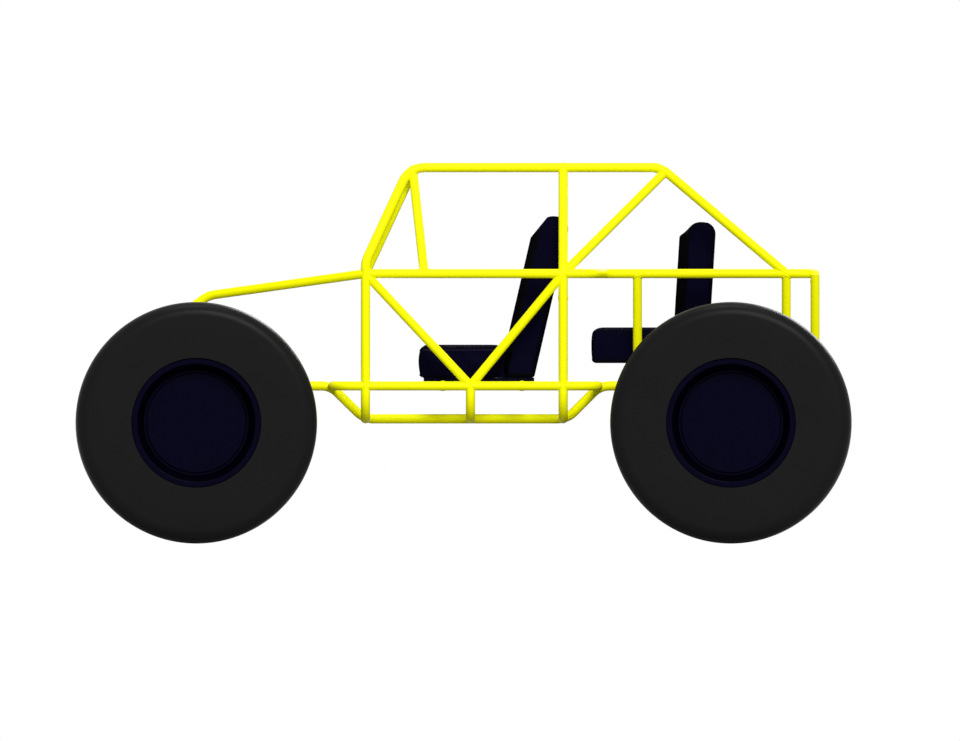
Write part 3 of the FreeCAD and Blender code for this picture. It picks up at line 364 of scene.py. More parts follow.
FINISHES: dict[Slot, Finish] = {
    Slot.FRAME: Finish("frame_yellow", (0.93, 0.93, 0.0015), 0.42, specular=0.06, grain_scale=350.0,
                       tint=0.03, spread=0.06, bump=0.015),
    # The seat's near-black second colour is painted shade on the rounded edges; its lighter third colour is
    # partly a tone of the sitting and front faces, partly painted light from above.
    Slot.SEAT: Finish("seat_navy", (0.0016, 0.0013, 0.0092), 0.8, specular=0.025, tint=0.25, bump=0.3,
                      weave_scale=260.0, edge_color=(0.0006, 0.0004, 0.0012),
                      top_color=(0.003, 0.0022, 0.011)),
    Slot.SHELL: Finish("shell_black", (0.0016, 0.0014, 0.0075), 0.7, specular=0.03, bump=0.2),
    Slot.FLOOR: Finish("floor_sheet", (0.42, 0.43, 0.45), 0.42, metallic=1.0, bump=0.08),
    Slot.AXLE: Finish("axle_black", (0.010, 0.010, 0.012), 0.42, specular=0.3, coat=0.1, bump=0.12,
                      dust=0.05),
    Slot.SPRING: Finish("spring_steel", (0.03, 0.03, 0.034), 0.45, metallic=0.4, bump=0.2),
    Slot.CASE: Finish("cast_case", (0.34, 0.34, 0.35), 0.5, metallic=0.9, grain_scale=260.0, bump=0.4,
                      dust=0.06),
    Slot.SHROUD: Finish("shroud_black", (0.012, 0.012, 0.013), 0.28, specular=0.4, coat=0.3, bump=0.04),
    Slot.EXHAUST: Finish("exhaust_steel", (0.36, 0.33, 0.31), 0.36, metallic=1.0, tint=0.35, spread=0.25,
                         bump=0.1),
    Slot.DAMPER: Finish("damper_metal", (0.45, 0.45, 0.47), 0.28, metallic=1.0, bump=0.05),
    Slot.FORGED: Finish("forged_steel", (0.04, 0.04, 0.045), 0.55, metallic=0.4, bump=0.3),
    Slot.TYRE: Finish("tyre_rubber", (0.0066, 0.0066, 0.0066), 0.36, specular=0.05, grain_scale=700.0),
    # The wheel's navy paint, with painted shade on its barrel and on the wall down to the disc.
    Slot.WHEEL: Finish("wheel_navy", (0.0011, 0.0008, 0.0074), 0.36, specular=0.02, bump=0.05,
                       steep_color=(0.0003, 0.0002, 0.002)),
}
# The piping cord is real, but its colour is lighter than the cover: a painted highlight along the cushion's
# top edge.
PIPING_HIGHLIGHT = Finish("seat_piping", (0.0055, 0.0030, 0.0150), 0.5, specular=0.05, bump=0.1)


class Wardrobe:
    """All finished materials by slot."""

    def __init__(self) -> None:
        """Build one material for each slot."""
        effects = Effects()
        self.materials = {slot: finish.build(effects) for slot, finish in FINISHES.items()}
        # The piping's lighter finish, a painted highlight.
        self.piping = PIPING_HIGHLIGHT.build(effects)

    def dress_frame(self, frame: dict) -> None:
        """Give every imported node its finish.

        Args:
            frame: What the loader returned.
        """
        slots = {entry["node"]: Slot(entry["material_slot"]) for entry in frame["record"]["subparts"]}
        for name, node in frame["nodes"].items():
            for holder in node.material_slots:
                holder.material = self.materials[slots[name]]


def eased(value: float, start: float, span: float) -> float:
    """How far a value has come through a span, from 0 to 1."""
    return max(0.0, min(1.0, (value - start) / span))


def corners(form: bmesh.types.BMesh) -> Bounds:
    """Lowest and highest corner of a mesh."""
    low = Vector([min(vert.co[axis] for vert in form.verts) for axis in range(3)])
    high = Vector([max(vert.co[axis] for vert in form.verts) for axis in range(3)])
    return low, high


def standing(place: Vector, way: Vector) -> Matrix:
    """The matrix that stands a shape's Z axis along a direction at a place."""
    return Matrix.Translation(place) @ way.to_track_quat("Z", "Y").to_matrix().to_4x4()


def soften(form: bmesh.types.BMesh, edges: list[bmesh.types.BMEdge], width: float, segments: int) -> None:
    """Break edges of a mesh with a small bevel."""
    bmesh.ops.bevel(form, geom=edges, offset=width, offset_type="OFFSET", segments=segments, profile=0.5,
                    affect="EDGES", material=-1)


def rims(made: dict) -> list[bmesh.types.BMEdge]:
    """All edges of what a create operator has made."""
    return list({edge for vert in made["verts"] for edge in vert.link_edges})


def across(form: bmesh.types.BMesh, outline: list[tuple[float, float]], middle: float,
           half_width: float) -> None:
    """Add a block that has one side outline all the way across the buggy.

    Args:
        form: The mesh that it goes into.
        outline: Points along the buggy and upwards, in order.
        middle: The block's middle across the buggy.
        half_width: Half of its width.
    """
    verts = [form.verts.new((x, middle - half_width, z)) for x, z in outline]
    face = bmesh.ops.contextual_create(form, geom=verts)["faces"]
    grown = bmesh.ops.extrude_face_region(form, geom=face, use_keep_orig=True)
    moved = [item for item in grown["geom"] if isinstance(item, bmesh.types.BMVert)]
    bmesh.ops.translate(form, verts=moved, vec=(0.0, 2 * half_width, 0.0))


def loop_edges(form: bmesh.types.BMesh, points: list[Vector]) -> list[bmesh.types.BMEdge]:
    """Add a closed line through points to a mesh and return its edges."""
    verts = [form.verts.new(point) for point in points]
    return [form.edges.new(pair) for pair in zip(verts, verts[1:] + verts[:1])]


def hoop(form: bmesh.types.BMesh, loops: list[list[Vector]]) -> None:
    """Close a ring-shaped skin over several loops of equally many points.

    Args:
        form: The mesh that it goes into.
        loops: The loops in order round the section.
    """
    lines = [loop_edges(form, points) for points in loops]
    for line, following in zip(lines, lines[1:] + lines[:1]):
        bmesh.ops.bridge_loops(form, edges=line + following)


def swept(lines: list[list[Vector]], radius: float, closed: bool, sides: int = 8) -> bmesh.types.BMesh:
    """Sweep a round section along lines of points.

    Args:
        lines: The lines.
        radius: The section's radius.
        closed: Whether each line comes back to its start.
        sides: Corners of the section, a multiple of four.

    Returns:
        A mesh of all the lines' skins.
    """
    data = bpy.data.curves.new("line", "CURVE")
    data.dimensions = "3D"
    data.bevel_depth = radius
    data.bevel_resolution = max(sides // 4 - 1, 0)
    data.use_fill_caps = not closed
    for points in lines:
        spline = data.splines.new("POLY")
        spline.points.add(len(points) - 1)
        for corner, point in zip(spline.points, points):
            corner.co = (*point, 1.0)
        spline.use_cyclic_u = closed
    holder = bpy.data.objects.new("line", data)
    bpy.context.scene.collection.objects.link(holder)
    graph = bpy.context.evaluated_depsgraph_get()
    mesh = bpy.data.meshes.new_from_object(holder.evaluated_get(graph))
    form = bmesh.new()
    form.from_mesh(mesh)
    bmesh.ops.remove_doubles(form, verts=form.verts, dist=MERGE_DISTANCE)
    bpy.data.objects.remove(holder)
    bpy.data.curves.remove(data)
    bpy.data.meshes.remove(mesh)
    return form


def islands(node: bpy.types.Object) -> list[bmesh.types.BMesh]:
    """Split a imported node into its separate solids.

    Args:
        node: The node's object.

    Returns:
        One mesh for each solid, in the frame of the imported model, lowest Y first.
    """
    whole = bmesh.new()
    whole.from_mesh(node.data)
    whole.transform(node.matrix_world)
    bmesh.ops.remove_doubles(whole, verts=whole.verts, dist=MERGE_DISTANCE)
    left = set(whole.verts)
    found = []
    while left:
        start = min(left, key=lambda vert: vert.index)
        group, queue = {start}, [start]
        while queue:
            for edge in queue.pop().link_edges:
                for vert in edge.verts:
                    if vert not in group:
                        group.add(vert)
                        queue.append(vert)
        left -= group
        part = whole.copy()
        part.verts.ensure_lookup_table()
        indices = {vert.index for vert in group}
        others = [vert for vert in part.verts if vert.index not in indices]
        bmesh.ops.delete(part, geom=others, context="VERTS")
        found.append(part)
    whole.free()
    return sorted(found, key=lambda part: sum(vert.co.y for vert in part.verts) / len(part.verts))


@dataclass
class Shop:
    """Where finished pieces are named, dressed and mounted."""

    wardrobe: Wardrobe
    frame: dict

    def node(self, name: str) -> bpy.types.Object:
        """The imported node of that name."""
        return self.frame["nodes"][name]

    def place(self, name: str, form: bmesh.types.BMesh, slot: Slot, body: str = "chassis",
              sharp: float = 40.0) -> bpy.types.Object:
        """Turn a mesh into a finished piece that rides a body.

        Args:
            name: The piece's name.
            form: Its mesh, used up here.
            slot: The record's slot of its finish.
            body: The body that carries it.
            sharp: Edges that turn more than this many degrees stay sharp.

        Returns:
            The piece.
        """
        bmesh.ops.recalc_face_normals(form, faces=form.faces)
        mesh = bpy.data.meshes.new(name)
        form.to_mesh(mesh)
        form.free()
        mesh.shade_smooth()
        mesh.set_sharp_from_angle(angle=math.radians(sharp))
        piece = bpy.data.objects.new(name, mesh)
        bpy.context.scene.collection.objects.link(piece)
        mesh.materials.clear()
        mesh.materials.append(self.wardrobe.materials[slot])
        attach(piece, body)
        LOG.info("%s: %d faces", name, len(mesh.polygons))
        return piece


@dataclass
class Tyre:
    """One tyre on its rim: round shoulders, grooved tread with short cross cuts."""

    centre: Vector
    side: Side
    end: str
    radius: float = 0.580
    half_width: float = 0.210
    shoulder: float = 0.066
    wall_ring: float = 0.10
    lip_radius: float = 0.3115
    seat_radius: float = 0.302
    seat_half_width: float = 0.188
    groove_depth: float = 0.008
    groove_half_width: float = 0.0055
    groove_narrowing: float = 0.7
    groove_places: tuple[float, ...] = (-0.096, -0.034, 0.034, 0.096)
    rib_pitch: float = 0.065
    rib_reach: float = 0.08
    rib_least_width: float = 0.03
    top_band: float = 0.002
    cut_depth: float = 0.005
    cut_margin: float = 0.0012
    cut_every: int = 4
    steps: int = 208
    round_steps: int = 9

    def profile(self) -> list[tuple[float, float]]:
        """The section's whole outline.

        Returns:
            Pairs of radius and place across the tyre, in order round the section.
        """
        low = self.radius - self.shoulder
        flat = self.half_width - self.shoulder
        points = [(self.seat_radius, -self.seat_half_width), (self.lip_radius, -self.seat_half_width),
                  (self.lip_radius, -self.half_width), (low - self.wall_ring, -self.half_width),
                  (low, -self.half_width)]
        for index in range(1, self.round_steps):
            turn = math.pi / 2 * index / self.round_steps
            points.append((low + self.shoulder * math.sin(turn), -flat - self.shoulder * math.cos(turn)))
        points.append((self.radius, -flat))
        other_side = [(r, -y) for r, y in reversed(points)]
        floor = self.radius - self.groove_depth
        wide, narrow = self.groove_half_width, self.groove_half_width * self.groove_narrowing
        for y in self.groove_places:
            points += [(self.radius, y - wide), (floor, y - narrow), (floor, y + narrow),
                       (self.radius, y + wide)]
        return points + other_side

    def cut(self, form: bmesh.types.BMesh) -> None:
        """Sink short cross cuts into the ribs between the grooves.

        Args:
            form: The turned tyre at the origin.
        """
        ribs = []
        for face in form.faces:
            middle = face.calc_center_median()
            places = [vert.co.y for vert in face.verts]
            wide = max(places) - min(places) > self.rib_least_width
            top = math.hypot(middle.x, middle.z) > self.radius - self.top_band
            step = int(math.atan2(middle.z, middle.x) / (2 * math.pi) * self.steps // 1)
            turn = step + 2 * round(middle.y / self.rib_pitch)
            if top and wide and abs(middle.y) < self.rib_reach and turn % self.cut_every == 0:
                ribs.append(face)
        bmesh.ops.inset_individual(form, faces=ribs, thickness=self.cut_margin)
        for face in ribs:
            middle = face.calc_center_median()
            inward = Vector((-middle.x, 0.0, -middle.z)).normalized()
            bmesh.ops.translate(form, verts=face.verts, vec=inward * self.cut_depth)

    def build(self, shop: Shop) -> None:
        """Turn the section about the axle and put the tyre on its wheel.

        Args:
            shop: Where the piece goes.
        """
        form = bmesh.new()
        line = loop_edges(form, [Vector((r, y, 0.0)) for r, y in self.profile()])
        bmesh.ops.spin(form, geom=line + list(form.verts), cent=(0, 0, 0), axis=(0, 1, 0),
                       angle=2 * math.pi, steps=self.steps, use_merge=True)
        self.cut(form)
        bmesh.ops.translate(form, verts=form.verts, vec=self.centre)
        place = f"{self.end}_{self.side.word}"
        piece = shop.place(f"tread_{place}", form, Slot.TYRE, f"{place}_wheel")
        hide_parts(f"tyre_{place}")


class Rest(Enum):
    """The faces of a pad that lie on something and stay flat."""

    BELOW = (0.0, 0.0, -1.0)
    BEHIND = (1.0, 0.0, 0.0)


@dataclass(frozen=True)
class Layer:
    """One rounded block of a backrest, by its side outline and width.

    The outline leans: places along the buggy are given at the foot.
    """

    front: float
    back: float
    foot: float
    top: float
    slope: float
    front_round: float
    back_round: float
    half_width: float
    foot_round: float = 0.014
    steps: int = 6

    def rounded(self) -> list[tuple[float, float]]:
        """The side outline with its corners rounded.

        Returns:
            Points along the buggy and upwards, in order.
        """
        lean = (self.top - self.foot) * self.slope
        turns = [((self.front, self.foot), self.foot_round), ((self.back, self.foot), self.foot_round),
                 ((self.back + lean, self.top), self.back_round),
                 ((self.front + lean, self.top), self.front_round)]
        points = []
        for index, (corner, radius) in enumerate(turns):
            here = Vector(corner)
            before = (Vector(turns[index - 1][0]) - here).normalized()
            after = (Vector(turns[(index + 1) % 4][0]) - here).normalized()
            half = before.angle(after) / 2
            centre = here + (before + after).normalized() * radius / math.sin(half)
            start = here + before * radius / math.tan(half) - centre
            end = here + after * radius / math.tan(half) - centre
            turn = start.angle_signed(end)
            for step in range(self.steps + 1):
                spin = Matrix.Rotation(-turn * step / self.steps, 2)
                points.append(tuple(centre + spin @ start))
        return points


@dataclass
class Pad:
    """One stuffed seat part, swelled and sewn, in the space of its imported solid."""

    name: str
    node: str
    rest: Rest
    channels: int
    bolster: float
    layers: tuple[Layer, ...] = ()
    piping: bool = False
    inset: float = 0.009
    cap: float = 0.011
    voxel: float = 0.010
    frames: int = 20
    pressure: float = 4.0
    rounding: int = 8
    grip_from: float = 0.3
    grip_span: float = 0.4
    least_freedom: float = 0.3
    snap: float = 0.02
    contact: float = 0.001
    settle: float = 0.0007
    # Bounds of the masks for the painted edge shade and for the lighter, partly painted top tone.
    top_facing: float = 0.18
    side_facing: float = 0.97
    side_blend: float = 0.10
    seam_from: float = 0.35
    seam_span: float = 0.4
    seam_depth: float = 0.007
    seam_half_width: float = 0.008
    channel_depth: float = 0.8
    piping_drop: float = 0.027
    piping_radius: float = 0.0055
    piping_sink: float = 0.7
    piping_points: int = 140
    fill: float = 0.75

    def skin(self, source: bmesh.types.BMesh) -> bpy.types.Object:
        """Evenly meshed, rounded and slightly smaller copy of the solid or of the layers.

        Args:
            source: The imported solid.

        Returns:
            A temporary object at the origin.
        """
        mesh = bpy.data.meshes.new(self.name)
        form = bmesh.new() if self.layers else source.copy()
        for layer in self.layers:
            across(form, layer.rounded(), self.middle(source), layer.half_width)
        if self.layers:
            bmesh.ops.recalc_face_normals(form, faces=form.faces)
        form.to_mesh(mesh)
        form.free()
        holder = bpy.data.objects.new(self.name, mesh)
        bpy.context.scene.collection.objects.link(holder)
        remesh = holder.modifiers.new("remesh", "REMESH")
        remesh.mode = "VOXEL"
        remesh.voxel_size = self.voxel
        self.apply(holder)
        form = bmesh.new()
        form.from_mesh(holder.data)
        for _ in range(self.rounding):
            bmesh.ops.smooth_vert(form, verts=form.verts, factor=0.5, use_axis_x=True, use_axis_y=True,
                                  use_axis_z=True)
        form.normal_update()
        moves = [(vert, vert.normal * -self.inset * self.freedom(vert.normal)) for vert in form.verts]
        for vert, move in moves:
            vert.co += move
        # The 'edge' layer marks the rounded edges, which get painted shade; the 'top' layer marks the faces
        # that don't face sideways, whose lighter tone is partly painted light from above.
        edge = form.verts.layers.float.new("edge")
        top = form.verts.layers.float.new("top")
        for vert in form.verts:
            sideways = abs(vert.normal.y)
            on_top = sideways <= self.top_facing
            vert[edge] = 0.0 if on_top else eased(-sideways, -self.side_facing, self.side_blend)
            vert[top] = 1.0 if on_top else 0.0
        form.to_mesh(holder.data)
        form.free()
        return holder

    def freedom(self, normal: Vector) -> float:
        """How freely a point may move, from 0 on faces that rest on something to 1 on open ones."""
        facing = max(normal.dot(Vector(rest.value)) for rest in Rest)
        return 1.0 - eased(facing, self.grip_from, self.grip_span)

    def apply(self, holder: bpy.types.Object) -> None:
        """Make an object's modifiers part of its mesh."""
        graph = bpy.context.evaluated_depsgraph_get()
        old = holder.data
        mesh = bpy.data.meshes.new_from_object(holder.evaluated_get(graph))
        holder.modifiers.clear()
        holder.data = mesh
        bpy.data.meshes.remove(old)

    def swell(self, holder: bpy.types.Object) -> None:
        """Blow the skin up like a stuffed cover and cap how far each point moves.

        Args:
            holder: The skin.
        """
        before = [vert.co.copy() for vert in holder.data.vertices]
        free = [self.freedom(vert.normal) for vert in holder.data.vertices]
        cloth = holder.modifiers.new("cloth", "CLOTH")
        cloth.settings.use_pressure = True
        cloth.settings.uniform_pressure_force = self.pressure
        cloth.settings.effector_weights.gravity = 0.0
        cloth.settings.quality = 4
        cloth.point_cache.frame_start = 1
        cloth.point_cache.frame_end = self.frames
        for number in range(1, self.frames + 1):
            bpy.context.scene.frame_set(number)
        graph = bpy.context.evaluated_depsgraph_get()
        blown = holder.evaluated_get(graph).data
        after = [vert.co.copy() for vert in blown.vertices]
        holder.modifiers.clear()
        bpy.context.scene.frame_set(1)
        for vert, start, end, share in zip(holder.data.vertices, before, after, free):
            move = end - start
            limit = self.cap * share
            if move.length > limit:
                move *= limit / move.length
            vert.co = start + move

    def sew(self, form: bmesh.types.BMesh) -> None:
        """Press the seams of the bolsters and the cross channels into the sitting face.

        Args:
            form: The swelled and subdivided skin.
        """
        lows, highs = corners(form)
        along = 0 if self.rest is Rest.BELOW else 2
        length = highs[along] - lows[along]
        middle = (lows[1] + highs[1]) / 2
        inner = (highs[1] - lows[1]) / 2 - self.bolster
        lines = [lows[along] + length * (index + 1) / (self.channels + 1) for index in range(self.channels)]
        face = -Vector(self.rest.value)
        form.normal_update()
        moves = []
        for vert in form.verts:
            facing = eased(vert.normal.dot(face), self.seam_from, self.seam_span)
            if not facing:
                continue
            off = abs(vert.co.y - middle)
            press = math.exp(-((off - inner) / self.seam_half_width) ** 2)
            if off < inner:
                for line in lines:
                    dip = math.exp(-((vert.co[along] - line) / self.seam_half_width) ** 2)
                    press = max(press, self.channel_depth * dip)
            moves.append((vert, vert.normal * -self.seam_depth * press * facing))
        for vert, move in moves:
            vert.co += move

    def seat(self, form: bmesh.types.BMesh, source: bmesh.types.BMesh) -> None:
        """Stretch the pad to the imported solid's box, pull in what stands out and let it down on its support.

        Args:
            form: The pad.
            source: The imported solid.
        """
        (low, high), (want_low, want_high) = corners(form), corners(source)
        for vert in form.verts:
            for axis in range(3):
                share = (vert.co[axis] - low[axis]) / (high[axis] - low[axis])
                vert.co[axis] = want_low[axis] + share * (want_high[axis] - want_low[axis])
        tree = BVHTree.FromBMesh(source)
        form.normal_update()
        for vert in form.verts:
            near, normal, _, distance = tree.find_nearest(vert.co)
            lying = max(self.freedom(vert.normal), self.freedom(normal)) < self.least_freedom
            if lying and distance < self.snap or (vert.co - near).dot(normal) > 0.0:
                vert.co = near
        for vert in form.verts:
            if vert.co.z < want_low.z + self.contact:
                vert.co.z -= self.settle

    def build(self, shop: Shop) -> None:
        """Make the pad, and its twin where the row has two seats.

        Args:
            shop: Where the pieces go.
        """
        solids = islands(shop.node(self.node))
        source = solids[0]
        bmesh.ops.recalc_face_normals(source, faces=source.faces)
        holder = self.skin(source)
        self.swell(holder)
        smooth = holder.modifiers.new("round", "SUBSURF")
        smooth.levels = 1
        smooth.render_levels = 1
        self.apply(holder)
        form = bmesh.new()
        form.from_mesh(holder.data)
        mesh = holder.data
        bpy.data.objects.remove(holder)
        bpy.data.meshes.remove(mesh)
        self.seat(form, source)
        self.sew(form)
        welt = self.welt(form) if self.piping else []
        for index, solid in enumerate(solids):
            shift = Vector((0.0, self.middle(solid) - self.middle(source), 0.0))
            name = self.name if len(solids) == 1 else f"{self.name}_{list(Side)[index].word}"
            copy = form.copy()
            bmesh.ops.translate(copy, verts=copy.verts, vec=shift)
            piece = shop.place(name, copy, Slot.SEAT, sharp=180.0)
            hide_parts(self.node)
            # The cord's lighter finish is a painted highlight along the cushion's top edge.
            if welt:
                cord = swept([[point + shift for point in welt]], self.piping_radius, closed=True)
                trim = shop.place(f"{name}_piping", cord, Slot.SEAT)
                trim.data.materials[0] = shop.wardrobe.piping
        form.free()

    def welt(self, form: bmesh.types.BMesh) -> list[Vector]:
        """Follow the pad's sides just under its sitting face.

        Args:
            form: The finished pad.

        Returns:
            The closed line of the piping.
        """
        low, high = corners(form)
        tree = BVHTree.FromBMesh(form)
        centre = (low + high) / 2
        centre.z = high.z - self.piping_drop
        points = []
        for index in range(self.piping_points):
            turn = 2 * math.pi * index / self.piping_points
            way = Vector((math.cos(turn), math.sin(turn), 0.0))
            hit = tree.ray_cast(centre + way * (high - low).length, -way)[0]
            if hit is not None:
                points.append(hit - way * self.piping_radius * self.piping_sink)
        return points

    def middle(self, solid: bmesh.types.BMesh) -> float:
        """The Y of a solid's middle."""
        low, high = corners(solid)
        return (low.y + high.y) / 2


@dataclass
class SeatJoin:
    """Strip of cover cloth that closes the corner between a cushion and its backrest."""

    name: str
    x: float
    foot: float
    top: float
    slope: float
    middle: float
    half_width: float
    foot_half: float = 0.034
    top_half: float = 0.013
    shoulder: float = 0.050
    edge: float = 0.003

    def build(self, shop: Shop) -> None:
        """Fold the strip into the corner.

        Args:
            shop: Where the piece goes.
        """
        rise = self.top - self.foot
        steps = ((self.foot_half, 0.0), (self.top_half, self.shoulder), (self.top_half, rise))
        ahead, behind = ([(self.x + way * half + z * self.slope, self.foot + z) for half, z in steps]
                         for way in (-1, 1))
        form = bmesh.new()
        across(form, [ahead[0], *behind, *reversed(ahead[1:])], self.middle, self.half_width)
        soften(form, list(form.edges), self.edge, segments=2)
        shop.place(self.name, form, Slot.SEAT)


@dataclass
class WeldBeads:
    """Fillet beads where straight frame tubes meet the tubes that they are welded to."""

    nodes: tuple[str, ...]
    others: tuple[str, ...]
    bead_radius: float = 0.0032
    points: int = 28
    reach: float = 0.09
    clear: float = 0.0003
    largest_radius: float = 0.03
    longest_step: float = 0.016
    shortest_run: int = 5

    def axis(self, solid: bmesh.types.BMesh) -> tuple[Vector, Vector, float] | None:
        """Find a straight tube's axis and radius.

        Args:
            solid: The tube.

        Returns:
            The axis' two ends and the radius, or nothing for a bent tube.
        """
        longest = max(solid.edges, key=lambda edge: edge.calc_length())
        way = (longest.verts[1].co - longest.verts[0].co).normalized()
        u = way.orthogonal().normalized()
        v = way.cross(u)
        us, vs, ws = ([vert.co.dot(axis) for vert in solid.verts] for axis in (u, v, way))
        radius = (max(us) - min(us) + max(vs) - min(vs)) / 4
        if radius > self.largest_radius:
            return None
        centre = u * (min(us) + max(us)) / 2 + v * (min(vs) + max(vs)) / 2
        return centre + way * min(ws), centre + way * max(ws), radius

    def bead(self, tree: BVHTree, middle: Vector, end: Vector, radius: float) -> list[Vector | None]:
        """Trace the line on which one end of a tube meets its neighbours.

        Args:
            tree: The neighbours' surfaces.
            middle: A point on the axis, well inside the tube's run.
            end: The axis' end.
            radius: The tube's radius.

        Returns:
            The points round the tube, with nothing where it ends in the open.
        """
        way = (end - middle).normalized()
        u = way.orthogonal().normalized()
        v = way.cross(u)
        found = []
        for index in range(self.points):
            turn = 2 * math.pi * index / self.points
            out = u * math.cos(turn) + v * math.sin(turn)
            start = end - way * self.reach + out * (radius + self.clear)
            found.append(tree.ray_cast(start, way, 2 * self.reach)[0])
        return found

    def joined(self, one: Vector | None, other: Vector | None) -> bool:
        """Whether two neighbouring points lie on one bead."""
        return one is not None and other is not None and (one - other).length < self.longest_step

    def runs(self, traced: list[Vector | None]) -> tuple[list[list[Vector]], list[list[Vector]]]:
        """Sort a traced line into closed rounds and open stretches.

        Args:
            traced: The points round the tube.

        Returns:
            The closed lines and the open ones.
        """
        breaks = [index for index, point in enumerate(traced) if not self.joined(traced[index - 1], point)]
        if not breaks:
            return [list(traced)], []
        turned = traced[breaks[0]:] + traced[:breaks[0]]
        stretches: list[list[Vector]] = [[]]
        for index, point in enumerate(turned):
            if index and not self.joined(turned[index - 1], point):
                stretches.append([])
            if point is not None:
                stretches[-1].append(point)
        return [], [stretch for stretch in stretches if len(stretch) >= self.shortest_run]

    def walls(self, shop: Shop) -> BVHTree:
        """The surfaces of all the tubes that a bead may lie on.

        Args:
            shop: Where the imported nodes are.

        Returns:
            The surfaces, ready for rays.
        """
        whole = bmesh.new()
        for name in self.others:
            node = shop.node(name)
            mesh = node.data.copy()
            mesh.transform(node.matrix_world)
            whole.from_mesh(mesh)
            bpy.data.meshes.remove(mesh)
        tree = BVHTree.FromBMesh(whole)
        whole.free()
        return tree

    def build(self, shop: Shop) -> None:
        """Lay the closed beads in one piece and the open ones in another.

        Args:
            shop: Where the pieces go.
        """
        tree = self.walls(shop)
        closed, opened = [], []
        solids = [solid for name in self.nodes for solid in islands(shop.node(name))]
        for solid in solids:
            found = self.axis(solid)
            if found is None:
                continue
            start, end, radius = found
            for near, far in ((start, end), (end, start)):
                rounds, stretches = self.runs(self.bead(tree, near, far, radius))
                closed += rounds
                opened += stretches
        LOG.info("weld lines: %d closed, %d open", len(closed), len(opened))
        shop.place("weld_beads", swept(closed, self.bead_radius, closed=True), Slot.FRAME)
        shop.place("weld_stretches", swept(opened, self.bead_radius, closed=False), Slot.FRAME)


@dataclass
class Coil:
    """Coil spring round one damper, between its two spring seats."""

    foot: Vector
    top: Vector
    side: Side
    low_share: float = 0.2
    high_share: float = 0.86
    coil_radius: float = 0.037
    wire_radius: float = 0.0065
    turns: float = 8.5
    steps: int = 30
    closeness: float = 0.75

    def build(self, shop: Shop) -> None:
        """Wind the wire with close turns at both ends.

        Args:
            shop: Where the piece goes.
        """
        length = (self.top - self.foot).length
        low = length * self.low_share + self.wire_radius
        high = length * self.high_share - self.wire_radius
        count = int(self.turns * self.steps)
        place = standing(self.foot, self.top - self.foot)
        points = []
        for index in range(count + 1):
            share = index / count
            turn = 2 * math.pi * self.turns * share
            ease = share - math.sin(2 * math.pi * share) / (2 * math.pi) * self.closeness
            x, y = self.coil_radius * math.cos(turn), self.coil_radius * math.sin(turn)
            points.append(place @ Vector((x, y, low + (high - low) * ease)))
        shop.place(f"coil_{self.side.word}", swept([points], self.wire_radius, closed=False), Slot.SPRING)


@dataclass
class DriveBelt:
    """Rubber belt over the crank and alternator pulleys."""

    low: float
    high: float
    x: float = 1.622
    low_radius: float = 0.074
    high_radius: float = 0.040
    half_width: float = 0.0056
    inner: float = 0.0004
    outer: float = 0.0078
    arc_steps: int = 20

    def path(self, grow: float, x: float) -> list[Vector]:
        """The belt's closed path at a distance from the pulleys.

        Args:
            grow: Height over the pulleys' rims.
            x: Where the path lies along the buggy.

        Returns:
            The path's points.
        """
        big, small = self.low_radius + grow, self.high_radius + grow
        lean = math.asin((big - small) / (self.high - self.low))
        arcs = ((small, self.high, lean, math.pi - 2 * lean),
                (big, self.low, math.pi - lean, math.pi + 2 * lean))
        points = []
        for radius, z, start, sweep in arcs:
            for index in range(self.arc_steps + 1):
                turn = start + sweep * index / self.arc_steps
                points.append(Vector((x, radius * math.cos(turn), z + radius * math.sin(turn))))
        return points

    def build(self, shop: Shop) -> None:
        """Close the belt round the pulleys.

        Args:
            shop: Where the piece goes.
        """
        form = bmesh.new()
        near, far = self.x - self.half_width, self.x + self.half_width
        hoop(form, [self.path(self.outer, near), self.path(self.outer, far), self.path(self.inner, far),
                    self.path(self.inner, near)])
        shop.place("drive_belt", form, Slot.TYRE)


@dataclass
class CleanerElement:
    """Pleated filter element between the lids of one air cleaner."""

    centre: Vector
    side: Side
    low: float = 0.835
    high: float = 0.879
    outer: float = 0.0512
    inner: float = 0.0484
    core: float = 0.0470
    pleats: int = 56

    def loop(self, outer: float, inner: float, z: float) -> list[Vector]:
        """A pleated line at a height.

        Args:
            outer: Radius of the crests.
            inner: Radius of the valleys.
            z: The height.

        Returns:
            The line's points.
        """
        points = []
        for index in range(2 * self.pleats):
            turn = math.pi * index / self.pleats
            radius = outer if index % 2 else inner
            points.append(Vector((self.centre.x + radius * math.cos(turn),
                                  self.centre.y + radius * math.sin(turn), z)))
        return points

    def build(self, shop: Shop) -> None:
        """Fold the element round the cleaner's core.

        Args:
            shop: Where the piece goes.
        """
        form = bmesh.new()
        plain, folded = (self.core, self.core), (self.outer, self.inner)
        hoop(form, [self.loop(*plain, self.low), self.loop(*folded, self.low), self.loop(*folded, self.high),
                    self.loop(*plain, self.high)])
        shop.place(f"cleaner_element_{self.side.word}", form, Slot.SHELL, sharp=20.0)


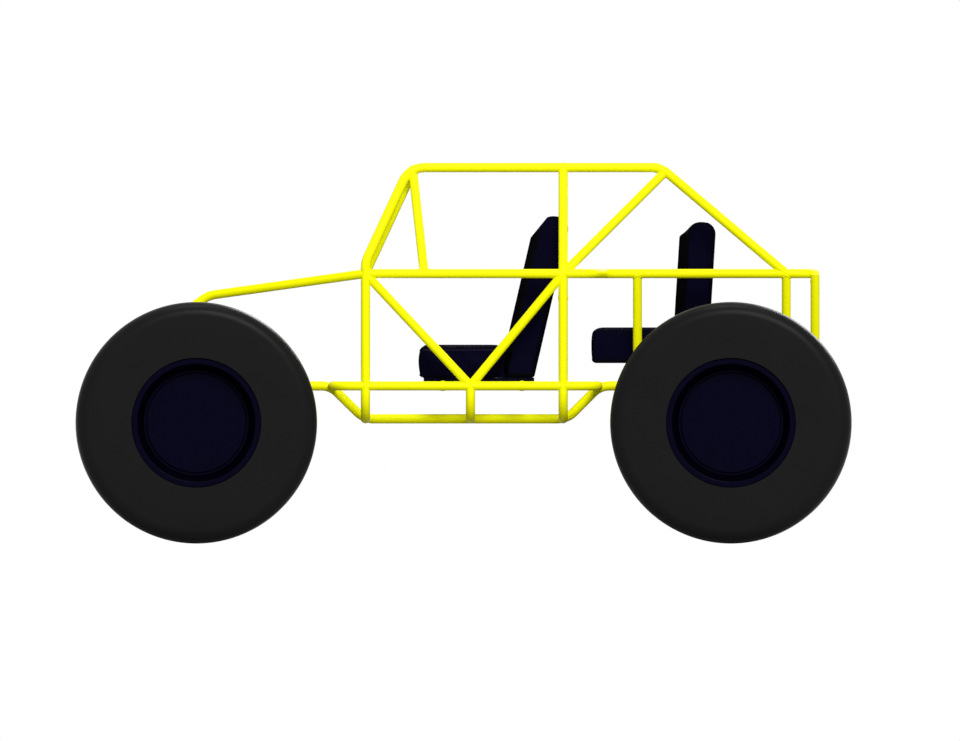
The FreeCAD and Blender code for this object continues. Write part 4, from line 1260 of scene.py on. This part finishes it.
@dataclass
class Bolts:
    """A set of hexagon heads on washers."""

    name: str
    places: list[tuple[Vector, Vector]]
    radius: float = 0.0075
    height: float = 0.0065
    washer_share: float = 1.45
    washer_lift: float = 0.0006
    washer_thickness: float = 0.0022
    head_lift: float = 0.0016
    edge: float = 0.0005

    def build(self, shop: Shop) -> None:
        """Make every head at its place, standing out along its direction.

        Args:
            shop: Where the piece goes.
        """
        form = bmesh.new()
        rim = self.radius * self.washer_share
        for place, way in self.places:
            washer = standing(place + way * self.washer_lift, way)
            bmesh.ops.create_cone(form, cap_ends=True, segments=20, radius1=rim, radius2=rim,
                                  depth=self.washer_thickness, matrix=washer)
            head = standing(place + way * (self.head_lift + self.height / 2), way)
            made = bmesh.ops.create_cone(form, cap_ends=True, segments=6, radius1=self.radius,
                                         radius2=self.radius, depth=self.height, matrix=head)
            soften(form, rims(made), self.edge, segments=1)
        shop.place(self.name, form, Slot.DAMPER, sharp=30.0)


@dataclass
class AxleClamp:
    """Two bow bolts, a plate and four nuts that clamp one leaf spring to the front axle."""

    side: Side
    axle: Vector
    spring_y: float = 0.385
    bow_radius: float = 0.0487
    wire_radius: float = 0.0062
    wire_sides: int = 12
    bolt_offset: float = 0.0368
    plate_low: float = 0.6655
    plate_thickness: float = 0.009
    plate_half_length: float = 0.062
    plate_half_width: float = 0.046
    plate_edge: float = 0.0012
    leg_over: float = 0.020
    nut_radius: float = 0.0105
    nut_height: float = 0.010
    steps: int = 14

    def bow(self, y: float) -> list[Vector]:
        """One bolt's line: up from a nut, round under the axle and back.

        Args:
            y: Where it lies across the buggy.

        Returns:
            The line's points.
        """
        top = self.plate_low + self.plate_thickness + self.leg_over
        arc = [Vector((self.axle.x + self.bow_radius * math.cos(turn), y,
                       self.axle.z + self.bow_radius * math.sin(turn)))
               for turn in (-math.pi * index / self.steps for index in range(self.steps + 1))]
        return [Vector((arc[0].x, y, top)), *arc, Vector((arc[-1].x, y, top))]

    def build(self, shop: Shop) -> None:
        """Make the bolts and plate as one piece and the nuts as another.

        Args:
            shop: Where the pieces go.
        """
        middle = self.side.value * self.spring_y
        ys = [middle - self.bolt_offset, middle + self.bolt_offset]
        form = swept([self.bow(y) for y in ys], self.wire_radius, closed=False, sides=self.wire_sides)
        place = Matrix.Translation((self.axle.x, middle, self.plate_low + self.plate_thickness / 2))
        length, width = 2 * self.plate_half_length, 2 * self.plate_half_width
        size = Matrix.Diagonal((length, width, self.plate_thickness, 1.0))
        plate = bmesh.ops.create_cube(form, size=1.0, matrix=place @ size)
        soften(form, rims(plate), self.plate_edge, segments=2)
        shop.place(f"axle_clamp_{self.side.word}", form, Slot.FORGED)
        top = self.plate_low + self.plate_thickness
        places = [(Vector((self.axle.x + way * self.bow_radius, y, top)), UP) for way in (-1, 1) for y in ys]
        Bolts(f"axle_clamp_nuts_{self.side.word}", places, self.nut_radius, self.nut_height).build(shop)


TUBE_NODES = ("cross_tubes", "cage_braces", "side_braces", "rear_posts", "rear_seat_frame")
SIDE_TUBES = ("main_rail", "side_hoop", "belt_rail", "sill_rail", "hood_tube")
HOOPS = ("front_hoop", "middle_hoop", "main_hoop")
FRAME_NODES = (*(f"{name}_{side.word}" for name in SIDE_TUBES for side in Side), *HOOPS, *TUBE_NODES)


@dataclass
class Seats:
    """Cushions and backs of both rows, with the cloth in their corners."""

    front_lean: float = math.tan(math.radians(13.0))
    rear_lean: float = math.tan(math.radians(3.5))
    front_foot: float = 0.797
    front_top: float = 1.572
    front_back: float = 0.339
    front_y: float = 0.330
    rear_foot: float = 0.867
    rear_top: float = 1.544
    rear_back: float = 1.1719

    def pads(self) -> list[Pad]:
        """Each backrest has a deep shell and a thinner, lower pad before it."""
        front = {"foot": self.front_foot, "slope": self.front_lean}
        rear = {"foot": self.rear_foot, "slope": self.rear_lean}
        front_layers = (
            Layer(0.2016, self.front_back, top=self.front_top, front_round=0.062, back_round=0.062,
                  half_width=0.240, **front),
            Layer(0.1666, 0.2236, top=1.500, front_round=0.028, back_round=0.010, half_width=0.192, **front),
        )
        rear_layers = (
            Layer(1.0335, self.rear_back, top=self.rear_top, front_round=0.064, back_round=0.064,
                  half_width=0.390, **rear),
            Layer(0.9985, 1.0555, top=1.480, front_round=0.022, back_round=0.010, half_width=0.338, **rear),
        )
        return [
            Pad("front_cushion", "front_cushions", Rest.BELOW, channels=3, bolster=0.095, piping=True),
            Pad("front_backrest", "front_backs", Rest.BEHIND, channels=4, bolster=0.110,
                layers=front_layers),
            Pad("rear_bench", "rear_cushion", Rest.BELOW, channels=2, bolster=0.110, voxel=0.012),
            Pad("rear_backrest", "rear_back", Rest.BEHIND, channels=3, bolster=0.130, layers=rear_layers,
                voxel=0.012),
        ]

    def joins(self) -> list[SeatJoin]:
        """A strip for each front seat and one for the rear seat."""
        strips = [SeatJoin(f"front_seat_join_{side.word}", x=0.1663, foot=0.7965, top=0.930,
                           slope=self.front_lean, middle=side.value * self.front_y, half_width=0.222)
                  for side in Side]
        return [*strips, SeatJoin("rear_seat_join", x=0.9982, foot=0.8665, top=1.012, slope=self.rear_lean,
                                  middle=0.0, half_width=0.370)]


@dataclass
class Buggy:
    """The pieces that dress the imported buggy."""

    axle_x: float = 1.283
    axle_z: float = 0.580
    wheel_y: float = 0.940
    damper_y: float = 0.560
    damper_foot: tuple[float, float] = (0.9944, 0.6811)
    damper_top: tuple[float, float] = (1.549, 1.0)
    damper_eye: float = 0.024
    cleaner_x: float = 1.5545
    cleaner_y: float = 0.236
    cleaner_top: float = 0.888
    pulley_x: float = 1.632
    crank_z: float = 0.630
    alternator_z: float = 0.855
    cover_x: float = 1.4925
    cover_y: float = 0.295
    cover_bolt_offset: float = 0.055
    final_drive_y: float = 0.125
    final_drive_ring: float = 0.076
    final_drive_bolts: int = 8
    screw_margin: float = 0.04
    screw_shares: tuple[float, ...] = (0.1, 0.3, 0.5, 0.7, 0.9)

    def tyres(self) -> list[Tyre]:
        """All four tyres."""
        return [Tyre(Vector((x, side.value * self.wheel_y, self.axle_z)), side, end)
                for x, end in ((-self.axle_x, "front"), (self.axle_x, "rear")) for side in Side]

    def coils(self) -> list[Coil]:
        """Coil springs of the rear dampers."""
        (foot_x, foot_z), (top_x, top_z) = self.damper_foot, self.damper_top
        return [Coil(Vector((foot_x, side.value * self.damper_y, foot_z)),
                     Vector((top_x, side.value * self.damper_y, top_z)), side)
                for side in Side]

    def engine(self) -> list[DriveBelt | CleanerElement]:
        """Belt and filter elements."""
        elements = [CleanerElement(Vector((self.cleaner_x, side.value * self.cleaner_y, 0.0)), side)
                    for side in Side]
        return [DriveBelt(self.crank_z, self.alternator_z), *elements]

    def side_bolts(self, side: Side) -> list[Bolts]:
        """Bolt heads on one side of the engine, the final drive and the dampers.

        Args:
            side: The side.

        Returns:
            The sets of bolts.
        """
        cover = Vector((self.cover_x, side.value * self.cover_y, self.crank_z))
        covers = [(cover + way * self.cover_bolt_offset * TAILWARD, side.out) for way in (-1, 1)]
        count, radius = self.final_drive_bolts, self.final_drive_ring
        turns = [2 * math.pi * (index + 0.5) / count for index in range(count)]
        drive = Vector((self.axle_x, side.value * self.final_drive_y, self.axle_z))
        ring = [(drive + radius * Vector((math.cos(turn), 0.0, math.sin(turn))), side.out) for turn in turns]
        cleaner = Vector((self.cleaner_x, side.value * self.cleaner_y, self.cleaner_top))
        x, z = self.damper_top
        damper = Vector((x, side.value * (self.damper_y + self.damper_eye), z))
        return [
            Bolts(f"cover_bolts_{side.word}", covers, radius=0.007),
            Bolts(f"diff_cover_bolts_{side.word}", ring, radius=0.0065),
            Bolts(f"cleaner_nut_{side.word}", [(cleaner, UP)], radius=0.008, height=0.009),
            Bolts(f"damper_nut_{side.word}", [(damper, side.out)], radius=0.010, height=0.008),
        ]

    def floor_screws(self, shop: Shop) -> Bolts:
        """Screws along both edges of each floor panel.

        Args:
            shop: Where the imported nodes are.

        Returns:
            The set of screws.
        """
        places = []
        for low, high in (corners(panel) for panel in islands(shop.node("floor_panels"))):
            for y in (low.y + self.screw_margin, high.y - self.screw_margin):
                places += [(Vector((low.x + (high.x - low.x) * share, y, high.z)), UP)
                           for share in self.screw_shares]
        return Bolts("floor_screws", places, radius=0.005, height=0.003)

    def fastenings(self, shop: Shop) -> list[Bolts | AxleClamp]:
        """All visible bolt heads, and the clamps of the front springs.

        Args:
            shop: Where the pieces go.

        Returns:
            The sets of bolts and the clamps.
        """
        pulleys = [(Vector((self.pulley_x, 0.0, z)), TAILWARD) for z in (self.crank_z, self.alternator_z)]
        front_axle = Vector((-self.axle_x, 0.0, self.axle_z))
        return [
            Bolts("pulley_bolts", pulleys, radius=0.012, height=0.010),
            *(bolts for side in Side for bolts in self.side_bolts(side)),
            self.floor_screws(shop),
            *(AxleClamp(side, front_axle) for side in Side),
        ]

    def build(self, shop: Shop) -> None:
        """Make every piece.

        Args:
            shop: Where the pieces go.
        """
        seats = Seats()
        for piece in (*self.tyres(), *seats.pads(), *seats.joins(), *self.coils(), *self.engine(),
                      *self.fastenings(shop), WeldBeads(TUBE_NODES, FRAME_NODES)):
            piece.build(shop)


@dataclass(frozen=True)
class Lamp:
    """One broad, far lamp that lights everything evenly.

    Azimuth and elevation are in degrees, with azimuth zero on the camera's side.
    """

    name: str
    azimuth: float
    elevation: float
    strength: float
    mirrored: bool = True
    angle: float = 25.0
    distance: float = 6.0

    def hang(self) -> None:
        """Put the lamp into the scene."""
        data = bpy.data.lights.new(self.name, "SUN")
        data.energy = self.strength
        data.angle = math.radians(self.angle)
        lamp = bpy.data.objects.new(self.name, data)
        bpy.context.scene.collection.objects.link(lamp)
        turn, rise = math.radians(self.azimuth), math.radians(self.elevation)
        way = Vector((math.sin(turn) * math.cos(rise), -math.cos(turn) * math.cos(rise), math.sin(rise)))
        lamp.location = way * self.distance
        lamp.rotation_euler = (-way).to_track_quat("-Z", "Y").to_euler()
        lamp.visible_glossy = self.mirrored


LAMPS = (
    Lamp("key", azimuth=12.0, elevation=34.0, strength=2.5),
    Lamp("fill", azimuth=0.0, elevation=6.0, strength=0.7, mirrored=False),
    Lamp("top", azimuth=0.0, elevation=89.0, strength=0.9),
    Lamp("back", azimuth=155.0, elevation=30.0, strength=2.0),
)


@dataclass
class Studio:
    """Floor, lamps, background and the side-on camera."""

    pixel: float = 0.0048
    image_width: int = 960
    image_height: int = 741
    axle_middle_px: float = 463.6
    ground_px: float = 543.6
    camera_distance: float = 12.0
    clip_end: float = 100.0
    floor_size: float = 60.0
    floor_pale: float = 0.9
    floor_dark: float = 0.22
    floor_roughness: float = 0.9
    floor_specular: float = 0.1
    sky: float = 0.3

    def camera(self) -> None:
        """Place the camera so that the buggy lies in the picture as in the photograph."""
        data = bpy.data.cameras.new("camera")
        data.type = "ORTHO"
        data.ortho_scale = self.image_width * self.pixel
        data.clip_end = self.clip_end
        camera = bpy.data.objects.new("camera", data)
        bpy.context.scene.collection.objects.link(camera)
        x = (self.image_width / 2 - self.axle_middle_px) * self.pixel
        z = (self.ground_px - self.image_height / 2) * self.pixel
        camera.matrix_world = Matrix.Translation((x, -self.camera_distance, z)) @ Matrix.Rotation(
            math.pi / 2, 4, "X")
        bpy.context.scene.camera = camera

    def floor(self) -> None:
        """Lay a pale floor under the tyres."""
        mesh = bpy.data.meshes.new("floor")
        form = bmesh.new()
        bmesh.ops.create_grid(form, x_segments=1, y_segments=1, size=self.floor_size / 2)
        form.to_mesh(mesh)
        form.free()
        floor = bpy.data.objects.new("floor", mesh)
        bpy.context.scene.collection.objects.link(floor)
        material = bpy.data.materials.new("floor_white")
        material.use_nodes = True
        graph = Graph(material.node_tree)
        dark, pale = ((tone, tone, tone, 1.0) for tone in (self.floor_dark, self.floor_pale))
        color = graph.mix(self.seen(graph), dark, pale)
        graph.fill(material.node_tree.nodes["Principled BSDF"], Base_Color=color,
                   Roughness=self.floor_roughness, Specular_IOR_Level=self.floor_specular)
        mesh.materials.append(material)

    def seen(self, graph: Graph) -> bpy.types.NodeSocket:
        """One for rays of the camera, of mirrors and through glass, and zero for rays that only light.

        Args:
            graph: The material's or world's graph.

        Returns:
            The value's socket.
        """
        path = graph.node("ShaderNodeLightPath").outputs
        either = graph.math("MAXIMUM", path["Is Camera Ray"], path["Is Transmission Ray"])
        return graph.math("MAXIMUM", either, path["Is Glossy Ray"])

    def world(self) -> None:
        """Even grey light with a white background for the camera, mirrors and glass."""
        world = bpy.data.worlds.new("studio")
        bpy.context.scene.world = world
        world.use_nodes = True
        graph = Graph(world.node_tree)
        strength = graph.node("ShaderNodeMapRange", Value=self.seen(graph), To_Min=self.sky, To_Max=1.0)
        graph.fill(world.node_tree.nodes["Background"], Color=(1.0, 1.0, 1.0, 1.0),
                   Strength=strength.outputs["Result"])

    def build(self) -> None:
        """Set up the whole studio."""
        bpy.context.scene.view_settings.view_transform = "Standard"
        self.floor()
        for lamp in LAMPS:
            lamp.hang()
        self.world()
        self.camera()


def main() -> None:
    """Load the frame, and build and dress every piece."""
    logging.basicConfig(level=logging.INFO, format="%(message)s")
    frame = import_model()
    wardrobe = Wardrobe()
    wardrobe.dress_frame(frame)
    Buggy().build(Shop(wardrobe, frame))
    Studio().build()


if __name__ == "__main__":
    main()
